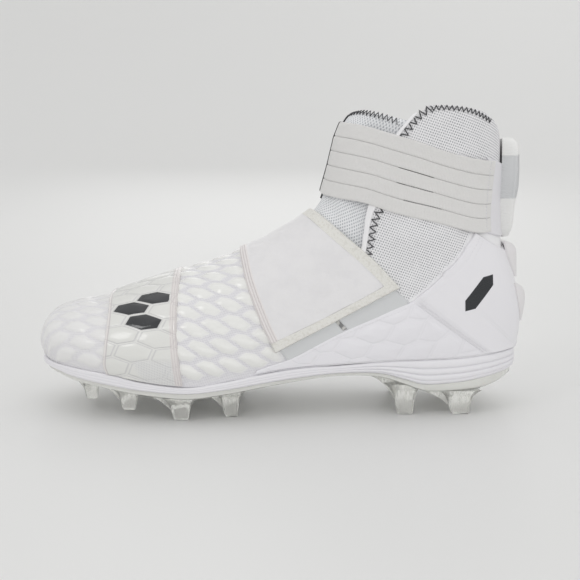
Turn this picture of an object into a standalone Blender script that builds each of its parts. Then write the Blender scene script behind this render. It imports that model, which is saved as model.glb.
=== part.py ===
"""A left american football cleat: high collar, two straps and a studded plate, round one last.

The toe points to -X, the heel to +X, the outer side of the foot to -Y and the collar to +Z.
Lengths are metres. Every wall of the shoe is taken from the function surface(t, v, off):
t is a row of the last (0 at the tip of the toe, 17 at the back of the heel, 26 at the collar),
v runs from -1 at the outer feather edge over the top at 0 to +1 at the inner feather edge,
and off is the distance outside the last.
"""

import math

import bmesh
import bpy
import numpy as np

# Driving sizes of the last
LAST_LENGTH = 0.300
BALL_WIDTH = 0.0966
HEEL_HEIGHT = 0.0388
INSTEP_HEIGHT = 0.0885
SHAFT_HEIGHT = 0.1491

# Walls, layers and clearances
CLEARANCE = 0.0003
LAYER_GAP = 0.0005
SPINE_GAP = 0.0008
UPPER_WALL = 0.0022
TONGUE_WALL = 0.0030
INSOLE_THICKNESS = 0.0040
BAND_THICKNESS = 0.0012
PANEL_THICKNESS = 0.0010
COUNTER_THICKNESS = 0.0014
PATCH_THICKNESS = 0.0008
STRAP_THICKNESS = 0.0020
ELASTIC_THICKNESS = 0.0016
ANCHOR_THICKNESS = 0.0010
TAB_THICKNESS = 0.0100
MIDSOLE_LIP = 0.0017
PLATE_INSET = 0.0010
RIB_DEPTH = 0.0007
SLIT_WIDTH = 0.0016

# Studs of the plate
STUD_LENGTH = 0.0150
STUD_WIDTH = 0.0100
STUD_TAPER = 0.56
STUD_ROOT = 0.0014
ARM_THICKNESS = 0.0026
ARM_REACH = 0.0150


# Row of the last at the back of the heel, where the feather line closes, and how many rows the
# slope of the wall is averaged over there
HEEL_ROW = 17
HEEL_BLEND = 0.35


class Table:
    """A few rows of named columns, read as smooth curves through the rows."""

    def __init__(self, names, rows):
        self.names = names
        self.rows = np.array(rows, float)

    def at(self, row, name):
        """Value of a column at a row number, which may lie between rows."""
        values = self.rows[:, self.names.index(name)]
        row = np.clip(np.asarray(row, float), 0, len(values) - 1)
        base = np.minimum(row.astype(int), len(values) - 2)
        f = row - base
        before = 2 * values[0] - values[1]
        after = 2 * values[-1] - values[-2]
        padded = np.concatenate([[before], values, [after]])
        a, b, c, d = (padded[base + k] for k in range(4))
        return 0.5 * (2 * b + (c - a) * f + (2 * a - 5 * b + 4 * c - d) * f ** 2
                      + (3 * b - a - 3 * c + d) * f ** 3)

    def row_of(self, name, value):
        """Row number at which a rising column reaches a value."""
        rows = np.linspace(0, len(self.rows) - 1, 601)
        return np.interp(value, self.at(rows, name), rows)


# Sections of the foot. x and top_x are shares of LAST_LENGTH; centre, half, ridge, outer and
# inner are shares of BALL_WIDTH. rise is the top's height over the foot bed as a share of
# INSTEP_HEIGHT up to 1, and past 1 it runs on to the collar at 2. power squares or sharpens the
# front of a section, back_power its lower part, and mid is the angle in degrees at the middle of a side.
FOOT = Table(
    ("x", "centre", "half", "top_x", "rise", "ridge", "outer", "inner", "power",
     "back_power", "mid"), (
        (-0.500, 0.062, 0.000, -0.500, 0.000, 0.062, 0.000, 0.000, 0.90, 1.00, 43.0),
        (-0.493, 0.057, 0.140, -0.507, 0.105, 0.062, 0.155, 0.155, 0.90, 1.00, 43.0),
        (-0.477, 0.052, 0.248, -0.500, 0.221, 0.062, 0.269, 0.259, 0.88, 1.00, 43.0),
        (-0.447, 0.041, 0.336, -0.478, 0.321, 0.067, 0.373, 0.331, 0.86, 1.00, 43.0),
        (-0.400, 0.026, 0.414, -0.434, 0.391, 0.072, 0.471, 0.388, 0.86, 1.00, 42.0),
        (-0.333, 0.010, 0.471, -0.371, 0.452, 0.078, 0.549, 0.424, 0.90, 1.00, 42.0),
        (-0.250, -0.005, 0.500, -0.291, 0.595, 0.072, 0.590, 0.445, 0.96, 1.00, 41.5),
        (-0.167, -0.021, 0.495, -0.201, 0.716, 0.062, 0.590, 0.430, 1.02, 1.00, 41.0),
        (-0.083, -0.026, 0.459, -0.118, 0.762, 0.052, 0.543, 0.393, 1.05, 1.00, 40.0),
        (0.000, -0.021, 0.414, -0.046, 0.818, 0.036, 0.481, 0.373, 1.06, 1.00, 38.5),
        (0.093, -0.016, 0.375, 0.007, 0.889, 0.026, 0.430, 0.352, 1.04, 1.00, 36.5),
        (0.183, -0.010, 0.354, 0.043, 0.949, 0.016, 0.399, 0.352, 1.00, 1.00, 34.5),
        (0.273, 0.000, 0.352, 0.069, 1.000, 0.010, 0.388, 0.362, 0.98, 1.00, 32.0),
        (0.353, 0.000, 0.347, 0.084, 1.092, 0.005, 0.383, 0.373, 0.96, 1.00, 29.5),
        (0.417, 0.000, 0.316, 0.092, 1.182, 0.000, 0.381, 0.378, 0.95, 0.97, 26.5),
        (0.460, 0.000, 0.243, 0.098, 1.281, 0.000, 0.381, 0.381, 0.94, 0.93, 23.0),
        (0.487, 0.000, 0.140, 0.104, 1.379, 0.000, 0.381, 0.381, 0.93, 0.89, 19.0),
        (0.498, 0.000, 0.000, 0.109, 1.469, 0.000, 0.381, 0.381, 0.92, 0.86, 15.0),
    ))

# Rings of the shaft over the heel. back_x and top_x are shares of LAST_LENGTH, back_rise and bow
# are shares of SHAFT_HEIGHT, and the widths are shares of BALL_WIDTH.
SHAFT = Table(
    ("back_x", "back_rise", "top_x", "rise", "outer", "inner", "power", "back_power", "bow",
     "mid"), (
        (0.503, 0.101, 0.113, 1.551, 0.381, 0.381, 0.91, 0.86, 0.000, 11.5),
        (0.501, 0.195, 0.117, 1.630, 0.379, 0.379, 0.90, 0.88, 0.001, 8.5),
        (0.490, 0.290, 0.121, 1.707, 0.376, 0.376, 0.90, 0.92, 0.003, 6.0),
        (0.474, 0.383, 0.127, 1.781, 0.373, 0.373, 0.89, 0.96, 0.005, 4.0),
        (0.462, 0.489, 0.133, 1.849, 0.373, 0.373, 0.88, 0.98, 0.008, 2.5),
        (0.458, 0.621, 0.141, 1.908, 0.378, 0.378, 0.87, 0.98, 0.012, 1.2),
        (0.458, 0.751, 0.151, 1.952, 0.388, 0.388, 0.86, 0.94, 0.016, 0.5),
        (0.456, 0.867, 0.165, 1.983, 0.399, 0.399, 0.86, 0.92, 0.020, 0.0),
        (0.450, 0.950, 0.182, 2.000, 0.404, 0.404, 0.86, 0.92, 0.022, 0.0),
    ))

# The sole along the foot. x is a share of LAST_LENGTH and the heights are shares of HEEL_HEIGHT.
SOLE = Table(
    ("x", "plate_bottom", "foam_bottom", "foam_top"), (
        (-0.510, 0.705, 0.770, 0.862),
        (-0.457, 0.644, 0.722, 0.822),
        (-0.417, 0.570, 0.657, 0.799),
        (-0.333, 0.477, 0.567, 0.737),
        (-0.273, 0.412, 0.510, 0.644),
        (-0.183, 0.358, 0.472, 0.572),
        (-0.113, 0.412, 0.515, 0.634),
        (-0.037, 0.503, 0.593, 0.737),
        (0.043, 0.593, 0.670, 0.817),
        (0.123, 0.652, 0.722, 0.840),
        (0.203, 0.631, 0.709, 0.881),
        (0.257, 0.503, 0.606, 0.897),
        (0.300, 0.394, 0.523, 0.905),
        (0.367, 0.394, 0.554, 0.928),
        (0.410, 0.420, 0.606, 0.956),
        (0.457, 0.503, 0.665, 0.987),
        (0.508, 0.610, 0.735, 1.002),
    ))

# Side wall of the midsole, bottom to top: height as a share of the foam, how far the lip stands
# out, and how much of the rib groove is cut there.
SIDE = Table(
    ("height", "lip", "groove"), (
        (0.00, 0.20, 0.0),
        (0.12, 0.80, 0.0),
        (0.28, 1.00, 0.0),
        (0.37, 1.00, 1.0),
        (0.46, 1.00, 0.0),
        (0.58, 1.00, 0.0),
        (0.67, 1.00, 1.0),
        (0.76, 1.00, 0.0),
        (1.00, 0.75, 0.0),
    ))
RIBS_START = 0.02
RIBS_FULL = 0.20

# Studs: x as a share of LAST_LENGTH, y as a share of the sole's half width, length and width as
# shares of STUD_LENGTH and STUD_WIDTH, clear as the height of the tip over the ground as a share
# of HEEL_HEIGHT, and whether there is one on each side.
STUDS = Table(
    ("x", "y", "length", "width", "clear", "paired"), (
        (-0.398, 0.38, 0.85, 0.85, 0.155, 1),
        (-0.310, 0.68, 0.95, 0.90, 0.100, 1),
        (-0.200, 0.80, 1.10, 1.05, 0.000, 1),
        (-0.100, 0.67, 0.95, 0.90, 0.000, 1),
        (-0.250, 0.00, 0.70, 0.80, 0.150, 0),
        (0.258, 0.80, 1.15, 0.95, 0.000, 1),
        (0.372, 0.80, 1.30, 1.00, 0.000, 1),
    ))

# Edge of the throat: half width of the opening in v at row t
THROAT = Table(
    ("t", "half"), (
        (10.0, 0.00), (11.0, 0.34), (12.0, 0.44), (13.0, 0.46), (14.0, 0.425), (16.0, 0.395),
        (18.0, 0.380), (21.0, 0.355), (23.0, 0.362), (24.3, 0.385), (25.2, 0.410), (26.0, 0.445),
    ))
# Rim of the collar: row t that the wall reaches at |v|
RIM = Table(("v", "t"), ((0.36, 25.2), (0.45, 25.7), (0.60, 25.9), (0.72, 25.9), (0.82, 25.6),
                         (0.92, 25.2), (1.00, 25.1)))
# Top edge of the tongue at |v|
TONGUE_TOP = Table(("v", "t"), ((0.0, 23.7), (0.1, 24.6), (0.24, 24.6), (0.35, 24.4), (0.6, 24.0)))

# Overlays. Each row is one line across the piece, from its front edge to its rear edge, and the
# rows run from the outer side over the top to the inner side. lift raises it over what it covers.
EDGES = ("front_t", "front_v", "rear_t", "rear_v", "lift")
FOREFOOT_BAND = Table(EDGES, (
    (4.86, -0.985, 6.74, -0.985, 0), (4.86, -0.90, 6.76, -0.85, 0), (5.02, -0.74, 6.80, -0.68, 0),
    (5.18, -0.54, 6.86, -0.51, 0), (5.24, -0.36, 6.92, -0.34, 0.0002),
    (5.22, -0.16, 6.94, -0.16, 0.0003), (5.22, 0.16, 6.94, 0.16, 0.0003),
    (5.20, 0.36, 6.92, 0.36, 0.0002), (5.14, 0.56, 6.88, 0.56, 0),
    (5.02, 0.76, 6.84, 0.76, 0), (4.90, 0.985, 6.80, 0.985, 0),
))
MIDFOOT_STRAP = Table(EDGES, (
    (9.00, -0.914, 13.36, -0.641, 0.0014), (8.78, -0.70, 13.30, -0.50, 0.0002),
    (8.60, -0.48, 12.94, -0.355, 0), (8.52, -0.26, 12.55, -0.20, 0), (8.48, 0.00, 12.10, 0.00, 0),
    (8.52, 0.25, 11.80, 0.25, 0), (8.62, 0.50, 11.60, 0.50, 0), (8.80, 0.75, 11.50, 0.75, 0),
    (9.05, 0.98, 11.50, 0.98, 0),
))
ANKLE_STRAP = Table(EDGES, (
    (21.42, -0.765, 23.98, -0.785, 0.0019), (19.64, -0.562, 23.54, -0.562, 0),
    (17.64, -0.430, 23.34, -0.405, 0), (15.40, -0.29, 22.90, -0.232, 0),
    (14.20, -0.13, 22.30, -0.10, 0), (14.00, 0.00, 22.05, 0.00, 0),
    (14.20, 0.13, 22.30, 0.10, 0), (15.40, 0.29, 22.90, 0.232, 0),
    (17.64, 0.430, 23.34, 0.405, 0), (19.64, 0.562, 23.54, 0.562, 0),
    (21.42, 0.765, 23.98, 0.785, 0.0019),
))
STRAP_ANCHOR = Table(EDGES, (
    (21.30, -0.745, 24.00, -0.755, 0), (21.60, -0.84, 24.10, -0.86, 0),
    (21.90, -1.0, 24.20, -1.0, 0),
))
HEEL_COUNTER = Table(EDGES, (
    (13.36, -0.705, 14.10, -0.985, 0), (14.70, -0.678, 15.20, -0.975, 0.0003),
    (16.10, -0.648, 16.30, -0.940, 0.0004), (17.55, -0.628, 17.40, -0.985, 0.0004),
    (19.20, -0.645, 19.20, -0.985, 0.0002), (20.85, -0.692, 21.40, -0.985, 0),
))
QUARTER_PANEL = Table(EDGES, (
    (8.45, -0.985, 8.50, -0.97, 0), (9.22, -0.985, 9.25, -0.955, 0),
    (10.70, -0.985, 10.70, -0.88, 0), (12.10, -0.985, 11.88, -0.79, 0),
    (13.98, -0.985, 13.24, -0.725, 0),
))
LOOP_PATCH = Table(EDGES, (
    (9.30, -0.950, 9.20, -0.880, 0), (9.90, -0.915, 9.72, -0.835, 0),
    (10.75, -0.862, 10.55, -0.775, 0), (11.85, -0.772, 11.60, -0.690, 0),
    (13.22, -0.700, 13.10, -0.615, 0),
))
LOOP_PATCH_SPLIT = (2.00, 2.12)

# Padded tab behind the collar and the ribs down the heel: rows bottom to top on the back
# centreline. t and half_v place the edge; thick is the share of TAB_THICKNESS.
TAB = Table(("t", "half_v", "thick"), (
    (21.75, 0.050, 0.30), (22.10, 0.070, 0.62), (22.80, 0.080, 0.80), (23.40, 0.085, 1.00),
    (24.30, 0.085, 1.00), (25.20, 0.080, 0.96), (25.60, 0.060, 0.60),
))
SCALE_ROWS = ("t", "half_v", "thick")
HEEL_SCALES = (
    Table(SCALE_ROWS, ((20.00, 0.045, 0.10), (20.70, 0.085, 0.45), (21.50, 0.100, 0.72))),
    Table(SCALE_ROWS, ((18.05, 0.045, 0.08), (18.80, 0.095, 0.28), (19.60, 0.110, 0.48))),
)

# Lines of the faceted walls: rows of the foot and shaft, and columns on each side
FOOT_LINES = np.concatenate([np.arange(0, 4, 0.5), np.linspace(4, 14, 15), np.arange(14.5, 17.1, 0.5)])
SHAFT_LINES = np.arange(18, 27)
COLUMNS = 12
WARP_FROM = 23


def collar_height():
    """Height of the collar's front over the ground."""
    return HEEL_HEIGHT + SHAFT_HEIGHT


def sole_height(x, name):
    """Height over the ground of one line of the sole at x."""
    return HEEL_HEIGHT * SOLE.at(SOLE.row_of("x", np.asarray(x) / LAST_LENGTH), name)


def instep_top():
    """Height over the ground of the bend of the ankle."""
    row = int(np.argmax(FOOT.rows[:, FOOT.names.index("rise")] >= 1.0))
    bed = sole_height(FOOT.at(row, "x") * LAST_LENGTH, "foam_top") + CLEARANCE
    return float(bed) + INSTEP_HEIGHT


def last_sections():
    """All sections of the last in metres, as one table."""
    rows = []
    instep = instep_top()
    for k in range(len(FOOT.rows)):
        s = {name: float(FOOT.at(k, name)) for name in FOOT.names}
        x = s["x"] * LAST_LENGTH
        z = float(sole_height(x, "foam_top")) + CLEARANCE
        low = z + min(s["rise"], 1.0) * INSTEP_HEIGHT
        top = low if s["rise"] < 1 else instep + (s["rise"] - 1) * (collar_height() - instep)
        outer_edge = (s["ridge"] - s["centre"] + s["half"]) * BALL_WIDTH
        inner_edge = (s["centre"] + s["half"] - s["ridge"]) * BALL_WIDTH
        rows.append((x, z, max(outer_edge, 0.0), max(inner_edge, 0.0),
                     s["top_x"] * LAST_LENGTH, top, s["ridge"] * BALL_WIDTH,
                     s["outer"] * BALL_WIDTH, s["inner"] * BALL_WIDTH,
                     s["power"], s["back_power"], 0.0, s["mid"]))
    for k in range(len(SHAFT.rows)):
        s = {name: float(SHAFT.at(k, name)) for name in SHAFT.names}
        rows.append((s["back_x"] * LAST_LENGTH, HEEL_HEIGHT + s["back_rise"] * SHAFT_HEIGHT,
                     0.0, 0.0, s["top_x"] * LAST_LENGTH,
                     instep + (s["rise"] - 1) * (collar_height() - instep), 0.0,
                     s["outer"] * BALL_WIDTH, s["inner"] * BALL_WIDTH,
                     s["power"], s["back_power"], s["bow"] * SHAFT_HEIGHT, s["mid"]))
    return Table(("edge_x", "edge_z", "outer_edge", "inner_edge", "top_x", "top_z", "ridge",
                  "outer", "inner", "power", "back_power", "bow", "mid"), rows)


LAST = last_sections()
LAST_ROW = len(LAST.rows) - 1
FEATHER = Table(LAST.names, LAST.rows[:HEEL_ROW + 1])
BACK = Table(LAST.names, LAST.rows[HEEL_ROW:])


def edge_line(t, name):
    """Where the sections start: the feather line round the sole, then the line up the back."""
    return np.where(t <= HEEL_ROW, FEATHER.at(t, name), BACK.at(np.asarray(t) - HEEL_ROW, name))


def last_point(t, v):
    """Points of the last's outside at row t and place v."""
    side = v < 0
    edge = np.maximum(np.where(side, edge_line(t, "outer_edge"), edge_line(t, "inner_edge")), 0.0)
    width = np.where(side, LAST.at(t, "outer"), LAST.at(t, "inner"))
    width = np.maximum(np.maximum(width, edge), 1e-6)
    power = LAST.at(t, "power")
    back_power = LAST.at(t, "back_power")
    start = -np.arccos(np.clip(edge / width, 0, 1) ** (1 / back_power))
    a = 1 - np.abs(v)
    mid = np.radians(LAST.at(t, "mid"))
    angle = start + (4 * mid - 3 * start - math.pi / 2) * a + (2 * start - 4 * mid + math.pi) * a ** 2
    turn = np.clip(np.cos(angle), 0, 1)
    bulge = np.where(angle >= 0, turn ** power, turn ** back_power)
    g = (np.sin(angle) - np.sin(start)) / (1 - np.sin(start))
    edge_x = edge_line(t, "edge_x")
    edge_z = edge_line(t, "edge_z")
    dx = LAST.at(t, "top_x") - edge_x
    dz = LAST.at(t, "top_z") - edge_z
    length = np.hypot(dx, dz) + 1e-9
    sag = 4 * g * (1 - g) * LAST.at(t, "bow")
    x = edge_x + dx * g + dz / length * sag
    z = edge_z + dz * g - dx / length * sag
    y = LAST.at(t, "ridge") + np.where(side, -1, 1) * width * bulge
    return np.stack([x, y, z], -1)


def surface(t, v, off=0.0):
    """Points at distance off outside the last."""
    t, v, off = np.broadcast_arrays(np.asarray(t, float), np.asarray(v, float),
                                    np.asarray(off, float))
    step = 1e-3
    inner_t = np.clip(t, 0.12, LAST_ROW - step)
    inner_v = np.clip(v, -0.9985, 0.9985)
    inner_v = np.where(np.abs(inner_v) < 2 * step, np.where(inner_v < 0, -1, 1) * 2 * step, inner_v)
    reach = step + HEEL_BLEND * np.exp(-((t - HEEL_ROW) / 0.6) ** 2)
    along_t = last_point(inner_t + reach, v) - last_point(inner_t - reach, v)
    along_v = last_point(inner_t, inner_v + step) - last_point(inner_t, inner_v - step)
    normal = np.cross(along_t, along_v)
    normal[..., 1] = np.where((t >= HEEL_ROW) & (np.abs(v) > 0.9995), 0.0, normal[..., 1])
    normal /= np.linalg.norm(normal, axis=-1, keepdims=True) + 1e-12
    return last_point(t, v) + normal * off[..., None]


def smoothstep(low, high, value):
    """Soft step from 0 at low to 1 at high."""
    f = np.clip((np.asarray(value, float) - low) / (high - low), 0, 1)
    return f * f * (3 - 2 * f)


class Sheet:
    """A wall made of an outer and an inner layer of points and the faces between them."""

    def __init__(self):
        self.outer = []
        self.inner = []
        self.count = []
        self.faces = []
        self.places = {}

    def point(self, outer, inner):
        """Number of a point pair; points that coincide outside are one."""
        key = tuple(round(float(c), 5) + 0.0 for c in outer)
        if key not in self.places:
            self.places[key] = len(self.outer)
            self.outer.append(outer)
            self.inner.append(np.zeros(3))
            self.count.append(0)
        k = self.places[key]
        self.inner[k] = self.inner[k] + inner
        self.count[k] += 1
        return k

    def grid(self, outer, inner, keep=lambda i, j: True):
        """Adds a grid of rows and columns, without the cells that keep refuses."""
        rows, columns = outer.shape[:2]
        numbers = [[self.point(outer[i, j], inner[i, j]) for j in range(columns)]
                   for i in range(rows)]
        for i in range(rows - 1):
            for j in range(columns - 1):
                if not keep(i, j):
                    continue
                corners = (numbers[i][j], numbers[i + 1][j], numbers[i + 1][j + 1], numbers[i][j + 1])
                face = [c for k, c in enumerate(corners) if c != corners[k - 1]]
                if len(set(face)) >= 3:
                    self.faces.append(face)

    def solid(self, name, look):
        """Makes the closed object: both layers, and an edge wall where a face has no neighbour."""
        size = len(self.outer)
        inner = [total / n for total, n in zip(self.inner, self.count)]
        edges = {}
        for face in self.faces:
            for k, a in enumerate(face):
                edges.setdefault(frozenset((face[k - 1], a)), []).append((face[k - 1], a))
        faces = [tuple(face) for face in self.faces]
        faces += [tuple(size + a for a in reversed(face)) for face in self.faces]
        for uses in edges.values():
            if len(uses) == 1:
                a, b = uses[0]
                faces.append((b, a, size + a, size + b))
        return add_object(name, list(self.outer) + inner, faces, look)


LOOKS = {
    "mesh_knit": ((0.80, 0.80, 0.84), 0.85, 0.0),
    "tongue_knit": ((0.66, 0.67, 0.71), 0.85, 0.0),
    "foam": ((0.84, 0.84, 0.87), 0.55, 0.0),
    "clear_plate": ((0.74, 0.74, 0.68), 0.12, 0.0),
    "sock_liner": ((0.10, 0.10, 0.11), 0.90, 0.0),
    "band_film": ((0.85, 0.85, 0.86), 0.25, 0.0),
    "strap_fabric": ((0.86, 0.86, 0.87), 0.50, 0.0),
    "elastic": ((0.82, 0.82, 0.81), 0.75, 0.0),
    "anchor_film": ((0.84, 0.84, 0.87), 0.45, 0.0),
    "quarter_film": ((0.83, 0.83, 0.87), 0.40, 0.0),
    "counter_film": ((0.82, 0.82, 0.87), 0.40, 0.0),
    "loop_fabric": ((0.45, 0.46, 0.49), 0.90, 0.0),
    "tab_webbing": ((0.80, 0.80, 0.80), 0.70, 0.0),
    "scale_rubber": ((0.70, 0.69, 0.70), 0.45, 0.0),
}


def make_material(look):
    """Material of a sub-part."""
    colour, roughness, metallic = LOOKS[look]
    material = bpy.data.materials.get(look)
    if material is None:
        material = bpy.data.materials.new(look)
        material.use_nodes = True
        shader = material.node_tree.nodes["Principled BSDF"]
        shader.inputs["Base Color"].default_value = (*colour, 1.0)
        shader.inputs["Roughness"].default_value = roughness
        shader.inputs["Metallic"].default_value = metallic
    return material


def add_object(name, points, faces, look):
    """Adds a mesh object with its faces pointing out and smooth shading between soft edges."""
    mesh = bpy.data.meshes.new(name)
    mesh.from_pydata([tuple(float(c) for c in p) for p in points], [], faces)
    mesh.materials.append(make_material(look))
    edit = bmesh.new()
    edit.from_mesh(mesh)
    bmesh.ops.dissolve_degenerate(edit, dist=1e-6, edges=edit.edges)
    bmesh.ops.triangulate(edit, faces=edit.faces)
    bmesh.ops.recalc_face_normals(edit, faces=edit.faces)
    edit.to_mesh(mesh)
    edit.free()
    mesh.shade_smooth()
    mesh.set_sharp_from_angle(angle=math.radians(40))
    obj = bpy.data.objects.new(name, mesh)
    bpy.context.scene.collection.objects.link(obj)
    return obj


def throat_half(t):
    """Half width of the throat in v at row t."""
    row = THROAT.row_of("t", t)
    return np.where(np.asarray(t) <= THROAT.rows[0, 0], 0.0, np.maximum(THROAT.at(row, "half"), 0.0))


def top_row(table, v):
    """Row t that a wall reaches at v."""
    return table.at(table.row_of("v", np.abs(v)), "t")


def warped(t, v, table):
    """Moves the upper rows of a wall so that its last row follows a rim."""
    share = np.clip((t - WARP_FROM) / (LAST_ROW - WARP_FROM), 0, 1)
    return np.where(t > WARP_FROM, WARP_FROM + share * (top_row(table, v) - WARP_FROM), t)


def build_upper():
    """The hollow lasted upper, open underneath, at the throat and at the collar."""
    sheet = Sheet()
    lines = np.concatenate([FOOT_LINES, SHAFT_LINES])
    for side in (-1, 1):
        t = np.repeat(lines[:, None], COLUMNS + 1, axis=1)
        c = np.linspace(0, 1, COLUMNS + 1)[None, :]
        v = side * (1 - (1 - throat_half(t)) * c)
        t = warped(t, v, RIM)
        outer = surface(t, v)
        inner = surface(t, v, -UPPER_WALL)
        inner[t[:, 0] <= HEEL_ROW, 0, 2] = outer[t[:, 0] <= HEEL_ROW, 0, 2]
        sheet.grid(outer, inner)
    return sheet.solid("upper", "mesh_knit")


def build_tongue():
    """Padded panel behind the throat, raised between the flaps and tucked under their edges."""
    sheet = Sheet()
    base = np.linspace(0, 1, 14)
    c = np.linspace(-1, 1, 13)[None, :]
    low = 9.3
    v = c * (np.maximum(throat_half(low + base * (24.5 - low)), 0.16)[:, None] + 0.10)
    t = low + base[:, None] * (top_row(TONGUE_TOP, v) - low)
    under = -(UPPER_WALL + LAYER_GAP + 2 * CLEARANCE)
    raised = smoothstep(0.05, 0.20, throat_half(t) - np.abs(v)) * smoothstep(10.8, 12.2, t)
    outer = under + raised * (-under - LAYER_GAP)
    inner = np.full_like(outer, under - TONGUE_WALL)
    sheet.grid(surface(t, v, outer), surface(t, v, inner))
    return sheet.solid("tongue", "tongue_knit")


def overlay(table, rows, columns, start=0.0, end=None):
    """Grid of rows t and places v between the two edges of an overlay, and its lift."""
    end = len(table.rows) - 1 if end is None else end
    r = np.linspace(start, end, rows + 1)[:, None]
    a = np.asarray(columns, float)[None, :]
    t = table.at(r, "front_t") * (1 - a) + table.at(r, "rear_t") * a
    v = table.at(r, "front_v") * (1 - a) + table.at(r, "rear_v") * a
    lift = table.at(r, "lift") + 0 * a
    return t, v, np.maximum(lift, 0.0)


def layer(name, table, rows, columns, thickness, look, **span):
    """A plain overlay of even thickness on the upper."""
    sheet = Sheet()
    t, v, lift = overlay(table, rows, np.linspace(0, 1, columns + 1), **span)
    sheet.grid(surface(t, v, LAYER_GAP + lift + thickness), surface(t, v, LAYER_GAP + lift))
    return sheet.solid(name, look)


def both_sides(name, table, rows, columns, thickness, look):
    """An overlay and its mirror image, joined where they meet down the back of the heel."""
    sheet = Sheet()
    t, v, lift = overlay(table, rows, np.linspace(0, 1, columns + 1))
    for side in (1, -1):
        joined = np.where((v <= -0.98) & (t >= HEEL_ROW), -1.0, v)
        sheet.grid(surface(t, side * joined, LAYER_GAP + lift + thickness),
                   surface(t, side * joined, LAYER_GAP + lift))
    return sheet.solid(name, look)


def build_ankle_strap():
    """Five elastic bands, joined by thin seams that open into slits beside the ankle."""
    bands = 5
    table = ANKLE_STRAP
    middle = len(table.rows) // 2
    span = surface(table.at(middle, "rear_t"), 0.0) - surface(table.at(middle, "front_t"), 0.0)
    groove = SLIT_WIDTH / float(np.linalg.norm(span))
    columns = [0.0]
    for k in range(1, bands):
        seam = k / bands
        columns += [seam - groove / 2, seam, seam + groove / 2]
    columns.append(1.0)
    rows = 22
    t, v, lift = overlay(table, rows, columns)
    low = np.array([c not in (0.0, 1.0) and abs(c * bands - round(c * bands)) < 1e-6 for c in columns])
    thickness = np.where(low, 0.45, 1.0) * ELASTIC_THICKNESS
    sheet = Sheet()

    def keep(i, j):
        """Leaves three short slits open on each side of the leg."""
        seam = (j + 2) // 3
        in_seam = j % 3 != 0
        slit_rows = (4, 5) if i < rows / 2 else (rows - 6, rows - 5)
        return not (in_seam and 2 <= seam <= 4 and i in slit_rows)

    sheet.grid(surface(t, v, LAYER_GAP + lift + thickness), surface(t, v, LAYER_GAP + lift), keep)
    return sheet.solid("ankle_strap", "elastic")


def spine_piece(name, table, rows, base, look):
    """A crowned pad on the back centreline, whose sides fall off towards the heel."""
    sheet = Sheet()
    r = np.linspace(0, len(table.rows) - 1, rows + 1)[:, None]
    c = np.linspace(-1, 1, 9)[None, :]
    t = table.at(r, "t") + 0 * c
    half = table.at(r, "half_v")
    v = np.where(c < 0, -1 + half * -c, 1 - half * c)
    v = np.where(c == 0, -1.0, v)
    crown = 1 - 0.22 * np.abs(c) ** 3
    thick = table.at(r, "thick") * TAB_THICKNESS * crown
    sheet.grid(surface(t, v, base + thick), surface(t, v, base + 0 * thick))
    return sheet.solid(name, look)


def outline():
    """Points of the feather line on the ground plane and the way out from them, outer then inner."""
    t = FOOT_LINES
    x = edge_line(t, "edge_x")
    ridge = LAST.at(t, "ridge")
    outer = np.stack([x, ridge - np.maximum(edge_line(t, "outer_edge"), 0)], -1)
    inner = np.stack([x, ridge + np.maximum(edge_line(t, "inner_edge"), 0)], -1)
    outer[-1, 1] = inner[-1, 1] = ridge[-1]
    outer[0, 1] = inner[0, 1] = ridge[0]
    loop = np.concatenate([outer, inner[-2:0:-1]])
    ahead = np.roll(loop, -1, axis=0) - loop
    behind = loop - np.roll(loop, 1, axis=0)
    ahead /= np.linalg.norm(ahead, axis=1, keepdims=True)
    behind /= np.linalg.norm(behind, axis=1, keepdims=True)
    tangent = ahead + behind
    tangent /= np.linalg.norm(tangent, axis=1, keepdims=True)
    out = np.stack([tangent[:, 1], -tangent[:, 0]], -1)
    return loop, out


def slab(name, levels, look):
    """A closed layer of the sole: rings of the feather line, each with a height and an offset."""
    loop, out = outline()
    size = len(loop)
    half = len(FOOT_LINES)
    points = []
    for height, offset in levels:
        ring = loop + out * np.broadcast_to(offset(loop[:, 0]), (size,))[:, None]
        points += [(*p, z) for p, z in zip(ring, height(loop[:, 0]))]
    faces = []
    for k in range(len(levels) - 1):
        for i in range(size):
            j = (i + 1) % size
            faces.append((k * size + i, k * size + j, (k + 1) * size + j, (k + 1) * size + i))
    for base in (0, (len(levels) - 1) * size):
        for i in range(half - 1):
            quad = [base + i, base + i + 1, base + (size - i - 1) % size, base + (size - i) % size]
            faces.append(tuple(dict.fromkeys(quad)))
    return add_object(name, points, faces, look)


def build_midsole():
    """Foam layer with a bulging side and rib grooves round the heel."""
    def level(share, lip, groove):
        def height(x):
            low = sole_height(x, "foam_bottom")
            return low + share * (sole_height(x, "foam_top") - low)

        def offset(x):
            ribs = smoothstep(RIBS_START, RIBS_FULL, x / LAST_LENGTH)
            return lip * MIDSOLE_LIP - groove * RIB_DEPTH * (0.25 + 0.75 * ribs)

        return height, offset

    return slab("midsole", [level(*row) for row in SIDE.rows], "foam")


def build_insole():
    """Thin liner on the midsole, inside the upper."""
    inset = -(UPPER_WALL + 2 * CLEARANCE)

    def level(rise, offset):
        return (lambda x: sole_height(x, "foam_top") + CLEARANCE + rise), (lambda x: offset + 0 * x)

    return slab("insole", [level(0.0, inset), level(INSOLE_THICKNESS, inset)], "sock_liner")


def frustum(edit, low, high):
    """Adds a closed solid between two rings of as many points."""
    rings = [[edit.verts.new(tuple(float(c) for c in p)) for p in ring] for ring in (low, high)]
    size = len(low)
    for i in range(size):
        j = (i + 1) % size
        edit.faces.new((rings[0][i], rings[0][j], rings[1][j], rings[1][i]))
    edit.faces.new(list(reversed(rings[0])))
    edit.faces.new(rings[1])


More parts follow.
